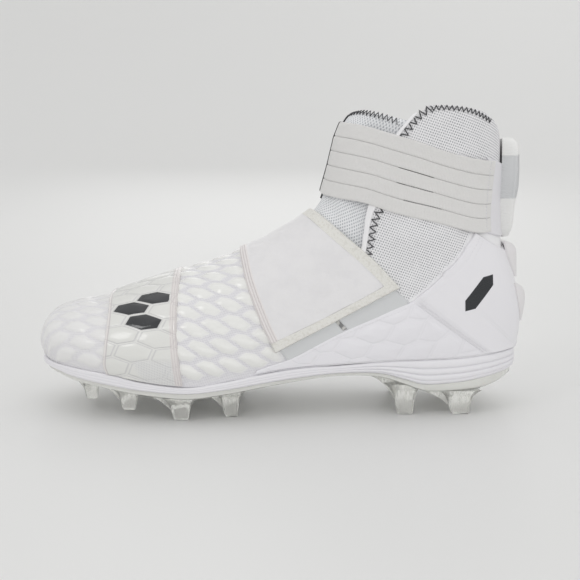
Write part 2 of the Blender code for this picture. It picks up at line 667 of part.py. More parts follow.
def stud_places():
    """Place and size of each stud: x, y, length, width, height of the tip."""
    places = []
    for k in range(len(STUDS.rows)):
        s = {name: float(STUDS.at(k, name)) for name in STUDS.names}
        row = float(FOOT.row_of("x", s["x"]))
        centre = float(FOOT.at(row, "centre")) * BALL_WIDTH
        half = float(FOOT.at(row, "half")) * BALL_WIDTH
        for side in ((-1, 1) if s["paired"] > 0.5 else (0,)):
            places.append((s["x"] * LAST_LENGTH, centre + side * s["y"] * half,
                           s["length"] * STUD_LENGTH, s["width"] * STUD_WIDTH,
                           s["clear"] * HEEL_HEIGHT, side))
    return places


def build_plate():
    """Clear plate under the midsole, with its studs and the webs in front of them."""
    plate = slab("outsole_plate", [
        ((lambda x: sole_height(x, "plate_bottom")), (lambda x: -2 * PLATE_INSET + 0 * x)),
        ((lambda x: sole_height(x, "plate_bottom") * 0.6 + sole_height(x, "foam_bottom") * 0.4),
         (lambda x: -PLATE_INSET * 0.5 + 0 * x)),
        ((lambda x: sole_height(x, "foam_bottom") - CLEARANCE), (lambda x: -PLATE_INSET + 0 * x)),
    ], "clear_plate")
    posts = bmesh.new()
    webs = bmesh.new()
    corner = 0.42
    octagon = ((-1, -corner), (-corner, -1), (corner, -1), (1, -corner),
               (1, corner), (corner, 1), (-corner, 1), (-1, corner))
    for x, y, length, width, tip, side in stud_places():
        root = float(sole_height(x, "plate_bottom")) + STUD_ROOT
        low = [(x + STUD_TAPER * length / 2 * a + 0.06 * length,
                y + STUD_TAPER * width / 2 * b, tip) for a, b in octagon]
        high = [(x + length / 2 * a, y + width / 2 * b, root) for a, b in octagon]
        frustum(posts, low, high)
        reach = ARM_REACH * length / STUD_LENGTH
        half = ARM_THICKNESS / 2
        front = float(sole_height(x - length / 2 - reach, "plate_bottom")) + STUD_ROOT
        level = tip + 0.42 * (root - tip)
        profile = ((x, level), (x, root - STUD_ROOT / 2),
                   (x - length / 2 - reach, front - STUD_ROOT / 2),
                   (x - length / 2 - reach * 0.9, front - 2 * STUD_ROOT))
        frustum(webs, [(a, y - half, b) for a, b in profile], [(a, y + half, b) for a, b in profile])
    for name, edit in (("stud_posts", posts), ("stud_webs", webs)):
        bmesh.ops.recalc_face_normals(edit, faces=edit.faces)
        mesh = bpy.data.meshes.new(name)
        edit.to_mesh(mesh)
        edit.free()
        tool = bpy.data.objects.new(name, mesh)
        bpy.context.scene.collection.objects.link(tool)
        tool.hide_render = True
        tool.display_type = "WIRE"
        join = plate.modifiers.new(name, "BOOLEAN")
        join.operation = "UNION"
        join.solver = "EXACT"
        join.object = tool
    return plate


def place_all(objects):
    """Hangs every piece on one empty, so that the shoe stands centred over the origin."""
    root = bpy.data.objects.new("shoe", None)
    bpy.context.scene.collection.objects.link(root)
    points = np.concatenate([np.array([v.co for v in o.data.vertices]) for o in objects])
    low, high = points.min(axis=0), points.max(axis=0)
    root.location = (-(low[0] + high[0]) / 2, -(low[1] + high[1]) / 2, 0.0)
    for obj in bpy.context.scene.objects:
        if obj is not root:
            obj.parent = root


def build():
    """Makes the whole shoe."""
    for obj in list(bpy.data.objects):
        bpy.data.objects.remove(obj)
    counter_top = LAYER_GAP + COUNTER_THICKNESS + SPINE_GAP
    anchor_top = LAYER_GAP + ANCHOR_THICKNESS + SPINE_GAP
    objects = [
        build_upper(),
        build_tongue(),
        build_midsole(),
        build_plate(),
        build_insole(),
        layer("forefoot_band", FOREFOOT_BAND, 22, 6, BAND_THICKNESS, "band_film"),
        layer("midfoot_strap", MIDFOOT_STRAP, 20, 8, STRAP_THICKNESS, "strap_fabric"),
        build_ankle_strap(),
        both_sides("strap_anchor", STRAP_ANCHOR, 5, 4, ANCHOR_THICKNESS, "anchor_film"),
        both_sides("heel_counter", HEEL_COUNTER, 12, 9, COUNTER_THICKNESS, "counter_film"),
        layer("quarter_panel_outer", QUARTER_PANEL, 9, 3, PANEL_THICKNESS, "quarter_film"),
        layer("loop_patch_front", LOOP_PATCH, 4, 2, PATCH_THICKNESS, "loop_fabric",
              start=0.0, end=LOOP_PATCH_SPLIT[0]),
        layer("loop_patch_rear", LOOP_PATCH, 4, 2, PATCH_THICKNESS, "loop_fabric",
              start=LOOP_PATCH_SPLIT[1]),
        spine_piece("heel_tab", TAB, 8, anchor_top, "tab_webbing"),
    ]
    for k, table in enumerate(HEEL_SCALES):
        objects.append(spine_piece(f"heel_scale_{k + 1}", table, 4, counter_top, "scale_rubber"))
    place_all(objects)


build()
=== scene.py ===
"""Looks of a left american football cleat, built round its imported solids.

The toe points to -X, the heel to +X, the outer side of the foot to -Y and the collar to +Z.
Lengths are metres, and the places that shaders read are millimetres. As in the solids, every wall
comes from surface(t, v, off): t is a row of the last (0 at the tip of the toe, 17 at the back of
the heel, 26 at the collar), v runs from -1 at the outer feather edge over the top at 0 to +1 at
the inner feather edge, and off is the distance outside the last.
"""

import math
from functools import partialmethod

import bmesh
import bpy
import numpy as np
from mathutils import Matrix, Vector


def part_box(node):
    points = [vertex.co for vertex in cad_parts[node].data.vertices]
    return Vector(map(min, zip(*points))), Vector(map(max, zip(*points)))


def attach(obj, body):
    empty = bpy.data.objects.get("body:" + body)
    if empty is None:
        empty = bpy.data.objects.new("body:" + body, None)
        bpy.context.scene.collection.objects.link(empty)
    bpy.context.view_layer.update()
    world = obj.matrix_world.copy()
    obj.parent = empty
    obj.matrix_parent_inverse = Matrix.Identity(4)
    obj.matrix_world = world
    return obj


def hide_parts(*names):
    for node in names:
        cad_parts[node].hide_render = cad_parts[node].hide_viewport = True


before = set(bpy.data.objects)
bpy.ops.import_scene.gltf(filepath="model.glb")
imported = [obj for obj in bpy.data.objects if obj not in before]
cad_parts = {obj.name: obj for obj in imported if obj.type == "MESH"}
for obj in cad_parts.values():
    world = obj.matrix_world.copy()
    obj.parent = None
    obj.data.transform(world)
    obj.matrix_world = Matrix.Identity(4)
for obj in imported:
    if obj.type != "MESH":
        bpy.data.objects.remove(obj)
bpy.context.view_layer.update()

# Driving sizes of the last, as in the solids
LAST_LENGTH = 0.300
BALL_WIDTH = 0.0966
HEEL_HEIGHT = 0.0388
INSTEP_HEIGHT = 0.0885
SHAFT_HEIGHT = 0.1491

# Walls and layers, as in the solids
CLEARANCE = 0.0003
LAYER_GAP = 0.0005
SPINE_GAP = 0.0008
UPPER_WALL = 0.0022
TONGUE_WALL = 0.0030
INSOLE_THICKNESS = 0.0040
BAND_THICKNESS = 0.0012
PANEL_THICKNESS = 0.0010
COUNTER_THICKNESS = 0.0014
PATCH_THICKNESS = 0.0008
STRAP_THICKNESS = 0.0020
ELASTIC_THICKNESS = 0.0016
ANCHOR_THICKNESS = 0.0010
TAB_THICKNESS = 0.0100
MIDSOLE_LIP = 0.0017
PLATE_INSET = 0.0010
STUD_LENGTH = 0.0150
STUD_WIDTH = 0.0100
STUD_TAPER = 0.56
ARM_REACH = 0.0150

# What the looks add
MM = 0.001
SEAT = 0.1 * MM
POD_HEIGHT = 1.2 * MM
PUFF_HEIGHT = 0.8 * MM
RIB_DEPTH = 0.6 * MM
EDGE_ROUND = 0.8 * MM
WEB_HALF = 1.3 * MM
BINDING_HEIGHT = 0.9 * MM
FLAP_RISE = 2.2 * MM
INNER_DROP_ROWS = 0.7
HEEL_ROW = 17
HEEL_BLEND = 0.35
WARP_FROM = 23
TONGUE_FROM = 9.3
COLLAR_FRONT = 10.5
SOLE_POINTS = 560


def smoothstep(low, high, value):
    """Soft step from 0 at low to 1 at high."""
    f = np.clip((np.asarray(value, float) - low) / (high - low), 0, 1)
    return f * f * (3 - 2 * f)


def bell(distance, middle, width):
    """1 at a distance of middle millimetres, and soft to 0 on both sides of it."""
    return np.exp(-((distance - middle * MM) / (width * MM)) ** 2)


def unit(vectors):
    """Vectors of length 1."""
    return vectors / (np.linalg.norm(vectors, axis=-1, keepdims=True) + 1e-12)


class Table:
    """A few rows of named columns, read as smooth curves through the rows."""

    def __init__(self, names, rows):
        self.names = names.split()
        self.rows = np.array(rows, float)

    def column(self, name):
        """The numbers of a column."""
        return self.rows[:, self.names.index(name)]

    def at(self, row, name):
        """Value of a column at a row number, which may lie between rows."""
        values = self.column(name)
        row = np.clip(np.asarray(row, float), 0, len(values) - 1)
        base = np.minimum(row.astype(int), len(values) - 2)
        f = row - base
        padded = np.concatenate([[2 * values[0] - values[1]], values, [2 * values[-1] - values[-2]]])
        a, b, c, d = (padded[base + k] for k in range(4))
        return 0.5 * (2 * b + (c - a) * f + (2 * a - 5 * b + 4 * c - d) * f ** 2
                      + (3 * b - a - 3 * c + d) * f ** 3)

    def where(self, key, value, name):
        """Value of a column where another, rising column has a value."""
        rows = np.linspace(0, len(self.rows) - 1, 601)
        return self.at(np.interp(value, self.at(rows, key), rows), name)


# Sections of the foot. x and top_x are shares of LAST_LENGTH; centre, half, ridge, outer and
# inner are shares of BALL_WIDTH. rise is the top's height over the foot bed as a share of
# INSTEP_HEIGHT up to 1, and past 1 it runs on to the collar at 2. power squares or sharpens the
# front of a section, back_power its lower part, and mid is the angle at the middle of a side.
FOOT = Table("x centre half top_x rise ridge outer inner power back_power mid", (
    (-0.5, 0.062, 0, -0.5, 0, 0.062, 0, 0, 0.9, 1, 43),
    (-0.493, 0.057, 0.14, -0.507, 0.105, 0.062, 0.155, 0.155, 0.9, 1, 43),
    (-0.477, 0.052, 0.248, -0.5, 0.221, 0.062, 0.269, 0.259, 0.88, 1, 43),
    (-0.447, 0.041, 0.336, -0.478, 0.321, 0.067, 0.373, 0.331, 0.86, 1, 43),
    (-0.4, 0.026, 0.414, -0.434, 0.391, 0.072, 0.471, 0.388, 0.86, 1, 42),
    (-0.333, 0.01, 0.471, -0.371, 0.452, 0.078, 0.549, 0.424, 0.9, 1, 42),
    (-0.25, -0.005, 0.5, -0.291, 0.595, 0.072, 0.59, 0.445, 0.96, 1, 41.5),
    (-0.167, -0.021, 0.495, -0.201, 0.716, 0.062, 0.59, 0.43, 1.02, 1, 41),
    (-0.083, -0.026, 0.459, -0.118, 0.762, 0.052, 0.543, 0.393, 1.05, 1, 40),
    (0, -0.021, 0.414, -0.046, 0.818, 0.036, 0.481, 0.373, 1.06, 1, 38.5),
    (0.093, -0.016, 0.375, 0.007, 0.889, 0.026, 0.43, 0.352, 1.04, 1, 36.5),
    (0.183, -0.01, 0.354, 0.043, 0.949, 0.016, 0.399, 0.352, 1, 1, 34.5),
    (0.273, 0, 0.352, 0.069, 1, 0.01, 0.388, 0.362, 0.98, 1, 32),
    (0.353, 0, 0.347, 0.084, 1.092, 0.005, 0.383, 0.373, 0.96, 1, 29.5),
    (0.417, 0, 0.316, 0.092, 1.182, 0, 0.381, 0.378, 0.95, 0.97, 26.5),
    (0.46, 0, 0.243, 0.098, 1.281, 0, 0.381, 0.381, 0.94, 0.93, 23),
    (0.487, 0, 0.14, 0.104, 1.379, 0, 0.381, 0.381, 0.93, 0.89, 19),
    (0.498, 0, 0, 0.109, 1.469, 0, 0.381, 0.381, 0.92, 0.86, 15),
))

# Rings of the shaft over the heel, with lengths as shares of LAST_LENGTH, SHAFT_HEIGHT and
# BALL_WIDTH
SHAFT = Table("back_x back_rise top_x rise outer inner power back_power bow mid", (
    (0.503, 0.101, 0.113, 1.551, 0.381, 0.381, 0.91, 0.86, 0, 11.5),
    (0.501, 0.195, 0.117, 1.63, 0.379, 0.379, 0.9, 0.88, 0.001, 8.5),
    (0.49, 0.29, 0.121, 1.707, 0.376, 0.376, 0.9, 0.92, 0.003, 6),
    (0.474, 0.383, 0.127, 1.781, 0.373, 0.373, 0.89, 0.96, 0.005, 4),
    (0.462, 0.489, 0.133, 1.849, 0.373, 0.373, 0.88, 0.98, 0.008, 2.5),
    (0.458, 0.621, 0.141, 1.908, 0.378, 0.378, 0.87, 0.98, 0.012, 1.2),
    (0.458, 0.751, 0.151, 1.952, 0.388, 0.388, 0.86, 0.94, 0.016, 0.5),
    (0.456, 0.867, 0.165, 1.983, 0.399, 0.399, 0.86, 0.92, 0.02, 0),
    (0.45, 0.95, 0.182, 2, 0.404, 0.404, 0.86, 0.92, 0.022, 0),
))

# The sole along the foot. x is a share of LAST_LENGTH and the heights are shares of HEEL_HEIGHT.
SOLE = Table("x plate_bottom foam_bottom foam_top", (
    (-0.51, 0.705, 0.77, 0.862), (-0.457, 0.644, 0.722, 0.822), (-0.417, 0.57, 0.657, 0.799),
    (-0.333, 0.477, 0.567, 0.737), (-0.273, 0.412, 0.51, 0.644), (-0.183, 0.358, 0.472, 0.572),
    (-0.113, 0.412, 0.515, 0.634), (-0.037, 0.503, 0.593, 0.737), (0.043, 0.593, 0.67, 0.817),
    (0.123, 0.652, 0.722, 0.84), (0.203, 0.631, 0.709, 0.881), (0.257, 0.503, 0.606, 0.897),
    (0.3, 0.394, 0.523, 0.905), (0.367, 0.394, 0.554, 0.928), (0.41, 0.42, 0.606, 0.956),
    (0.457, 0.503, 0.665, 0.987), (0.508, 0.61, 0.735, 1.002),
))

# Side of the midsole, bottom to top: height as a share of the foam, how far the lip stands out
# and how deep a groove is
SIDE = Table("height lip groove", (
    (0, 0.2, 0), (0.06, 0.72, 0), (0.12, 0.95, 0.3), (0.16, 0.98, 0.8), (0.2, 1, 0.1),
    (0.28, 1.04, 0), (0.36, 1.02, 0.1), (0.4, 1, 1), (0.44, 1.02, 0.1), (0.52, 1.05, 0),
    (0.62, 1.02, 0.1), (0.67, 1, 1), (0.72, 1, 0.1), (0.8, 1, 0), (0.9, 0.95, 0),
    (0.97, 0.84, 0), (1.01, 0.66, 0), (1.03, 0.4, 0),
))

# Studs: x as a share of LAST_LENGTH, y as a share of the sole's half width, length and width as
# shares of STUD_LENGTH and STUD_WIDTH, clear as a share of HEEL_HEIGHT
STUDS = Table("x y length width clear paired", (
    (-0.398, 0.38, 0.85, 0.85, 0.155, 1), (-0.31, 0.68, 0.95, 0.9, 0.1, 1),
    (-0.2, 0.8, 1.1, 1.05, 0, 1), (-0.1, 0.67, 0.95, 0.9, 0, 1), (-0.25, 0, 0.7, 0.8, 0.15, 0),
    (0.258, 0.8, 1.15, 0.95, 0, 1), (0.372, 0.8, 1.3, 1, 0, 1),
))
STUD_LEVELS = (0, 0.05, 0.12, 0.22, 0.36, 0.52, 0.70, 0.86, 0.95, 1)
STUD_SHAPE = ((-1, -0.35), (-0.62, -0.92), (-0.1, -1), (0.5, -1), (0.95, -0.82), (1, -0.4), (0.8, 0),
              (1, 0.4), (0.95, 0.82), (0.5, 1), (-0.1, 1), (-0.62, 0.92), (-1, 0.35))

# Edge of the throat, rim of the collar, top of the tongue, lower edge of the midfoot strap, and
# the line between the pinholed collar and the foot's film as |v| at row t
THROAT = Table("t half", (
    (10, 0), (11, 0.34), (12, 0.44), (13, 0.46), (14, 0.425), (16, 0.395), (18, 0.38),
    (21, 0.355), (23, 0.362), (24.3, 0.385), (25.2, 0.41), (26, 0.445),
))
RIM = Table("v t", ((0.36, 25.2), (0.45, 25.7), (0.6, 25.9), (0.72, 25.9), (0.82, 25.6), (0.92, 25.2),
                    (1, 25.1)))
TONGUE_TOP = Table("v t", ((0, 23.7), (0.1, 24.6), (0.24, 24.6), (0.35, 24.4), (0.6, 24)))
STRAP_LOW = Table("t v", ((9, -0.888), (9.88, -0.817), (10.8, -0.758), (11.89, -0.693),
                          (12.81, -0.648), (13.36, -0.637)))
COLLAR_LINE = Table("t v", (
    (8.4, 0.96), (9.25, 0.93), (10.78, 0.81), (11.96, 0.745), (13.3, 0.69), (14.7, 0.67),
    (16, 0.643), (17.2, 0.617), (18.4, 0.627), (19.2, 0.639), (20.85, 0.682), (22, 0.8),
    (23, 1.1), (26, 1.4),
))


def mirrored(rows):
    """Rows of an overlay's outer half, and after them their mirror images on the inner side."""
    return (*rows, *((t, -v, rear_t, -rear_v, lift) for t, v, rear_t, rear_v, lift in rows[-2::-1]))


# Overlays: one line across the piece in each row, from its front edge to its rear edge
EDGES = "front_t front_v rear_t rear_v lift"
FOREFOOT_BAND = Table(EDGES, (
    (4.86, -0.985, 6.74, -0.985, 0), (4.86, -0.9, 6.76, -0.85, 0), (5.02, -0.74, 6.8, -0.68, 0),
    (5.18, -0.54, 6.86, -0.51, 0), (5.24, -0.36, 6.92, -0.34, 0.0002),
    (5.22, -0.16, 6.94, -0.16, 0.0003), (5.22, 0.16, 6.94, 0.16, 0.0003),
    (5.2, 0.36, 6.92, 0.36, 0.0002), (5.14, 0.56, 6.88, 0.56, 0), (5.02, 0.76, 6.84, 0.76, 0),
    (4.9, 0.985, 6.8, 0.985, 0),
))
MIDFOOT_STRAP = Table(EDGES, (
    (9, -0.914, 13.36, -0.641, 0.0014), (8.78, -0.7, 13.3, -0.5, 0.0002),
    (8.6, -0.48, 12.94, -0.355, 0), (8.52, -0.26, 12.55, -0.2, 0), (8.48, 0, 12.1, 0, 0),
    (8.52, 0.25, 11.8, 0.25, 0), (8.62, 0.5, 11.6, 0.5, 0), (8.8, 0.75, 11.5, 0.75, 0),
    (9.05, 0.98, 11.5, 0.98, 0),
))
ANKLE_STRAP = Table(EDGES, mirrored((
    (21.42, -0.765, 23.98, -0.785, 0.0019), (19.64, -0.562, 23.54, -0.562, 0),
    (17.64, -0.43, 23.34, -0.405, 0), (15.4, -0.29, 22.9, -0.232, 0),
    (14.2, -0.13, 22.3, -0.1, 0), (14, 0, 22.05, 0, 0),
)))
STRAP_ANCHOR = Table(EDGES, (
    (21.3, -0.745, 24, -0.755, 0), (21.6, -0.84, 24.1, -0.86, 0), (21.9, -1, 24.2, -1, 0),
))
HEEL_COUNTER = Table(EDGES, (
    (13.33, -0.702, 14.1, -0.985, 0), (14, -0.686, 14.65, -0.99, 0.0003),
    (14.72, -0.678, 15.2, -0.99, 0.0003), (15.3, -0.667, 15.7, -0.99, 0.0004),
    (16.02, -0.65, 16.2, -0.99, 0.0004), (16.68, -0.632, 16.75, -0.99, 0.0004),
    (17.17, -0.623, 17.1, -0.99, 0.0004), (17.95, -0.629, 17.8, -0.985, 0.0003),
    (18.84, -0.639, 18.8, -0.985, 0.0002), (19.67, -0.654, 19.7, -0.985, 0.0001),
    (20.85, -0.692, 21.4, -0.985, 0),
))
QUARTER_PANEL = Table(EDGES, (
    (8.45, -0.985, 8.5, -0.97, 0), (9.22, -0.985, 9.25, -0.94, 0),
    (10.1, -0.985, 10.07, -0.868, 0), (10.85, -0.985, 10.78, -0.819, 0),
    (12.1, -0.985, 11.96, -0.753, 0), (13.1, -0.985, 12.78, -0.713, 0),
    (14.12, -0.985, 13.36, -0.703, 0),
))
LOOP_PATCH = Table(EDGES, (
    (9.24, -0.945, 9.1, -0.86, 0), (10.07, -0.874, 9.85, -0.79, 0), (10.78, -0.825, 10.6, -0.74, 0),
    (11.96, -0.758, 11.7, -0.68, 0), (13.22, -0.702, 13.05, -0.615, 0),
))
LOOP_PATCH_SPLIT = (2.00, 2.12)

# Pads on the back centreline, with their thickness as a share of TAB_THICKNESS
SPINE = "t half_v thick"
TAB = Table(SPINE, ((21.75, 0.05, 0.3), (22.1, 0.07, 0.62), (22.8, 0.08, 0.8), (23.4, 0.085, 1),
                    (24.1, 0.085, 1), (24.75, 0.078, 0.95), (25.05, 0.055, 0.62)))
HEEL_SCALES = (Table(SPINE, ((20, 0.045, 0.1), (20.7, 0.085, 0.45), (21.5, 0.1, 0.72))),
               Table(SPINE, ((18.05, 0.045, 0.08), (18.8, 0.095, 0.28), (19.6, 0.11, 0.48))))

# Heights between which the tab's grey band starts and ends
GREY_BAND = ((0.1322, 0.1328), (0.1587, 0.1590))

# Creases: ends as t and v, width and depth in millimetres, depth below zero for a
# trough and above it for a ridge
UPPER_CREASES = ((7.25, -0.62, 7.45, -0.18, 3.5, -0.5), (7.75, -0.78, 7.95, -0.4, 3, 0.3),
                 (8.15, -0.66, 8.2, -0.2, 3, -0.4), (7.3, 0.62, 7.45, 0.2, 3.5, -0.5),
                 (8.1, 0.66, 8.2, 0.2, 3, -0.4), (3.4, -0.42, 4.6, -0.3, 4, -0.3),
                 (14.4, -0.6, 18.2, -0.56, 5, -0.7), (16.5, -0.5, 19.2, -0.6, 6, 0.6),
                 (14.4, 0.6, 18.2, 0.56, 5, -0.7), (16.5, 0.5, 19.2, 0.6, 6, 0.6))
TONGUE_CREASES = ((15.2, -0.06, 12.7, -0.34, 4, -1.1), (16.6, -0.22, 13.6, -0.36, 3.5, 0.7),
                  (14.3, 0.22, 12.6, 0.38, 4, -1), (23.6, -0.16, 22.6, -0.3, 5, -0.6),
                  (23.6, 0.16, 22.6, 0.3, 5, -0.6))

# Seams as t and |v|: up the flap, round the rim, up the front of the collar, the tongue's top (as
# t and v), the counter's front edge, its seam to the quarter, the strap's rear end, the quarter
FLAP_SEAM = ((21.9, 0.375), (23, 0.38), (24.2, 0.4), (25, 0.425), (25.45, 0.46))
RIM_SEAM = ((25.45, 0.46), (25.66, 0.52), (25.76, 0.6), (25.72, 0.68), (25.48, 0.78))
FRONT_SEAM = ((11.6, 0.44), (12.3, 0.472), (13, 0.482), (13.9, 0.447), (15.6, 0.42), (17.7, 0.402),
              (20, 0.385))
TONGUE_SEAM = ((24.16, -0.345), (24.28, -0.28), (24.36, -0.2), (24.34, -0.12), (23.85, -0.04),
               (23.55, 0), (23.85, 0.04), (24.34, 0.12), (24.36, 0.2), (24.28, 0.28), (24.16, 0.345))
COUNTER_EDGE = ((13.6, 0.694), (14.72, 0.678), (15.3, 0.667), (16.02, 0.65), (16.68, 0.632),
                (17.17, 0.623), (17.95, 0.629), (18.84, 0.639), (19.67, 0.654), (20.6, 0.684))
COUNTER_SEAM = ((13.4, 0.725), (13.6, 0.79), (13.8, 0.87), (13.95, 0.93), (14.05, 0.97))
STRAP_SEAM = ((21.4, 0.742), (22.6, 0.748), (23.85, 0.756))
QUARTER_SEAM = ((9.5, 0.937), (10.07, 0.883), (10.78, 0.834), (11.96, 0.768), (12.9, 0.725))

# Ankle strap: bands, columns in each, a seam's share of a band, how dark a seam is, and the
# slits from the lowest seam up, with middles and half length in rows of its table
BANDS = 5
PER_BAND = 12
SEAM_SHARE = 0.030
SEAM_TINT = 0.38
STRAP_ROWS = 260
SLIT_MIDDLES = (1.45, 1.65, 1.65)
SLIT_HALF = 0.43


def sole_height(x, name):
    """Height over the ground of one line of the sole at x."""
    return HEEL_HEIGHT * SOLE.where("x", np.asarray(x) / LAST_LENGTH, name)


def last_sections():
    """All sections of the last in metres, as one table."""
    foot, shaft = ({name: table.column(name) for name in table.names} for table in (FOOT, SHAFT))
    x = foot["x"] * LAST_LENGTH
    z = sole_height(x, "foam_top") + CLEARANCE
    instep = z[np.argmax(foot["rise"] >= 1)] + INSTEP_HEIGHT
    over = [instep + (part["rise"] - 1) * (HEEL_HEIGHT + SHAFT_HEIGHT - instep)
            for part in (foot, shaft)]
    lean = foot["ridge"] - foot["centre"]
    outer_edge, inner_edge = (np.maximum(foot["half"] + s * lean, 0) * BALL_WIDTH for s in (1, -1))
    top = np.where(foot["rise"] < 1, z + foot["rise"] * INSTEP_HEIGHT, over[0])
    none = 0 * over[1]
    rows = [np.stack([*edge, s["top_x"] * LAST_LENGTH, top_z, ridge, s["outer"] * BALL_WIDTH,
                      s["inner"] * BALL_WIDTH, s["power"], s["back_power"], bow, s["mid"]], -1)
            for s, edge, top_z, ridge, bow in (
                (foot, (x, z, outer_edge, inner_edge), top, foot["ridge"] * BALL_WIDTH, 0 * x),
                (shaft, (shaft["back_x"] * LAST_LENGTH,
                         HEEL_HEIGHT + shaft["back_rise"] * SHAFT_HEIGHT, none, none),
                 over[1], none, shaft["bow"] * SHAFT_HEIGHT))]
    return Table("edge_x edge_z outer_edge inner_edge top_x top_z ridge outer inner power "
                 "back_power bow mid", np.concatenate(rows))


LAST = last_sections()
LAST_ROW = len(LAST.rows) - 1
FEATHER, BACK = (Table(" ".join(LAST.names), rows)
                 for rows in (LAST.rows[:HEEL_ROW + 1], LAST.rows[HEEL_ROW:]))


def edge_line(t, name):
    """Where the sections start: the feather line round the sole, then the line up the back."""
    return np.where(t <= HEEL_ROW, FEATHER.at(t, name), BACK.at(np.asarray(t) - HEEL_ROW, name))


def last_point(t, v):
    """Points of the last's outside at row t and place v."""
    side = v < 0
    edge = np.maximum(np.where(side, edge_line(t, "outer_edge"), edge_line(t, "inner_edge")), 0.0)
    width = np.where(side, LAST.at(t, "outer"), LAST.at(t, "inner"))
    width = np.maximum(np.maximum(width, edge), 1e-6)
    back_power = LAST.at(t, "back_power")
    start = -np.arccos(np.clip(edge / width, 0, 1) ** (1 / back_power))
    a = 1 - np.abs(v)
    mid = np.radians(LAST.at(t, "mid"))
    angle = start + (4 * mid - 3 * start - math.pi / 2) * a + (2 * start - 4 * mid + math.pi) * a ** 2
    turn = np.clip(np.cos(angle), 0, 1)
    bulge = turn ** np.where(angle >= 0, LAST.at(t, "power"), back_power)
    g = (np.sin(angle) - np.sin(start)) / (1 - np.sin(start))
    edge_x = edge_line(t, "edge_x")
    edge_z = edge_line(t, "edge_z")
    dx = LAST.at(t, "top_x") - edge_x
    dz = LAST.at(t, "top_z") - edge_z
    sag = 4 * g * (1 - g) * LAST.at(t, "bow") / (np.hypot(dx, dz) + 1e-9)
    y = LAST.at(t, "ridge") + np.where(side, -1, 1) * width * bulge
    return np.stack([edge_x + dx * g + dz * sag, y, edge_z + dz * g - dx * sag], -1)


def soft_point(t, v):
    """Points of the last with its rows run softly through the heel, and the outer flap drawn up."""
    reach = 0.5 * np.exp(-((t - HEEL_ROW) / 0.8) ** 2) * (1 - smoothstep(0.90, 0.985, np.abs(v)))
    points = 0.5 * last_point(t, v) + 0.25 * (last_point(t + reach, v) + last_point(t - reach, v))
    rise = smoothstep(22.5, 26, t) * smoothstep(0.36, 0.48, -v) * (1 - smoothstep(0.8, 0.95, -v))
    points[..., 2] += FLAP_RISE * rise
    return points


def normal_at(t, v):
    """Direction out of the last."""
    step = 1e-3
    inner_t = np.clip(t, 0.12, LAST_ROW - step)
    inner_v = np.clip(v, -0.9985, 0.9985)
    inner_v = np.where(np.abs(inner_v) < 2 * step, np.where(inner_v < 0, -1, 1) * 2 * step, inner_v)
    reach = step + HEEL_BLEND * np.exp(-((t - HEEL_ROW) / 0.6) ** 2)
    along_t = last_point(inner_t + reach, v) - last_point(inner_t - reach, v)
    along_v = last_point(inner_t, inner_v + step) - last_point(inner_t, inner_v - step)
    normal = np.cross(along_t, along_v)
    normal[..., 1] = np.where((t >= HEEL_ROW) & (np.abs(v) > 0.9995), 0.0, normal[..., 1])
    return unit(normal)


def surface(t, v, off=0.0):
    """Points at distance off outside the last."""
    t, v, off = np.broadcast_arrays(*(np.asarray(a, float) for a in (t, v, off)))
    return soft_point(t, v) + normal_at(t, v) * off[..., None]


def lengths(points, axis):
    """Distances along a grid's rows or columns from its first line, and the whole length."""
    run = np.cumsum(np.linalg.norm(np.diff(points, axis=axis), axis=-1), axis=axis)
    run = np.concatenate([np.zeros_like(np.take(run, [0], axis=axis)), run], axis=axis)
    return run, np.take(run, [-1], axis=axis)


def arc_lengths():
    """Lengths round each row from the top line, on a fine grid of rows and places."""
    t = np.linspace(0, LAST_ROW, 8 * LAST_ROW + 1)[:, None]
    length = lengths(last_point(*np.broadcast_arrays(t, np.linspace(-1, 1, 161)[None, :])), 1)[0]
    return length - length[:, 80:81]


ARCS = arc_lengths()


def arc(t, v):
    """Length round row t from the top line to v, below zero on the outer side."""
    row = np.clip(np.asarray(t, float), 0, LAST_ROW) * 8
    column = (np.clip(np.asarray(v, float), -1, 1) + 1) * 80
    i = np.minimum(row.astype(int), ARCS.shape[0] - 2)
    j = np.minimum(column.astype(int), ARCS.shape[1] - 2)
    f, g = row - i, column - j
    return ((ARCS[i, j] * (1 - g) + ARCS[i, j + 1] * g) * (1 - f)
            + (ARCS[i + 1, j] * (1 - g) + ARCS[i + 1, j + 1] * g) * f)


def foot_place(t, v):
    """Flat coordinates on the foot in millimetres: along the foot, and down from the top line."""
    return last_point(t, v)[..., 0] / MM, np.abs(arc(t, v)) / MM


# Lengths round the leg from its front, by the turn about its axis, and lengths along the top line
LEG_AXIS = 0.095
LEG_RING = last_point(np.full(200, 22.0), np.linspace(0, 1, 200))
LEG_TURN = np.arctan2(LEG_RING[:, 1], LEG_AXIS - LEG_RING[:, 0])
LEG_RUN = lengths(LEG_RING, 0)[0]
RIDGE_ROWS = np.linspace(0, LAST_ROW, 521)
RIDGE_RUN = lengths(last_point(RIDGE_ROWS, 0 * RIDGE_ROWS), 0)[0]


def leg_place(t, v):
    """Flat coordinates on the collar in millimetres: round the leg from its front, and up."""
    points = surface(t, v)
    turn = np.arctan2(np.abs(points[..., 1]), LEG_AXIS - points[..., 0])
    return np.interp(turn, LEG_TURN, LEG_RUN) / MM, points[..., 2] / MM


def creases(table, t, v):
    """Height of the creases at t and v, in metres."""
    points = last_point(t, v)
    height = 0.0
    for t0, v0, t1, v1, width, depth in table:
        a, b = last_point(np.array([t0, t1]), np.array([v0, v1]))
        along = np.clip(((points - a) @ (b - a)) / ((b - a) @ (b - a)), 0, 1)
        distance = np.linalg.norm(points - a - along[..., None] * (b - a), axis=-1)
        height = height + depth * MM * bell(distance, 0, width)
    return height


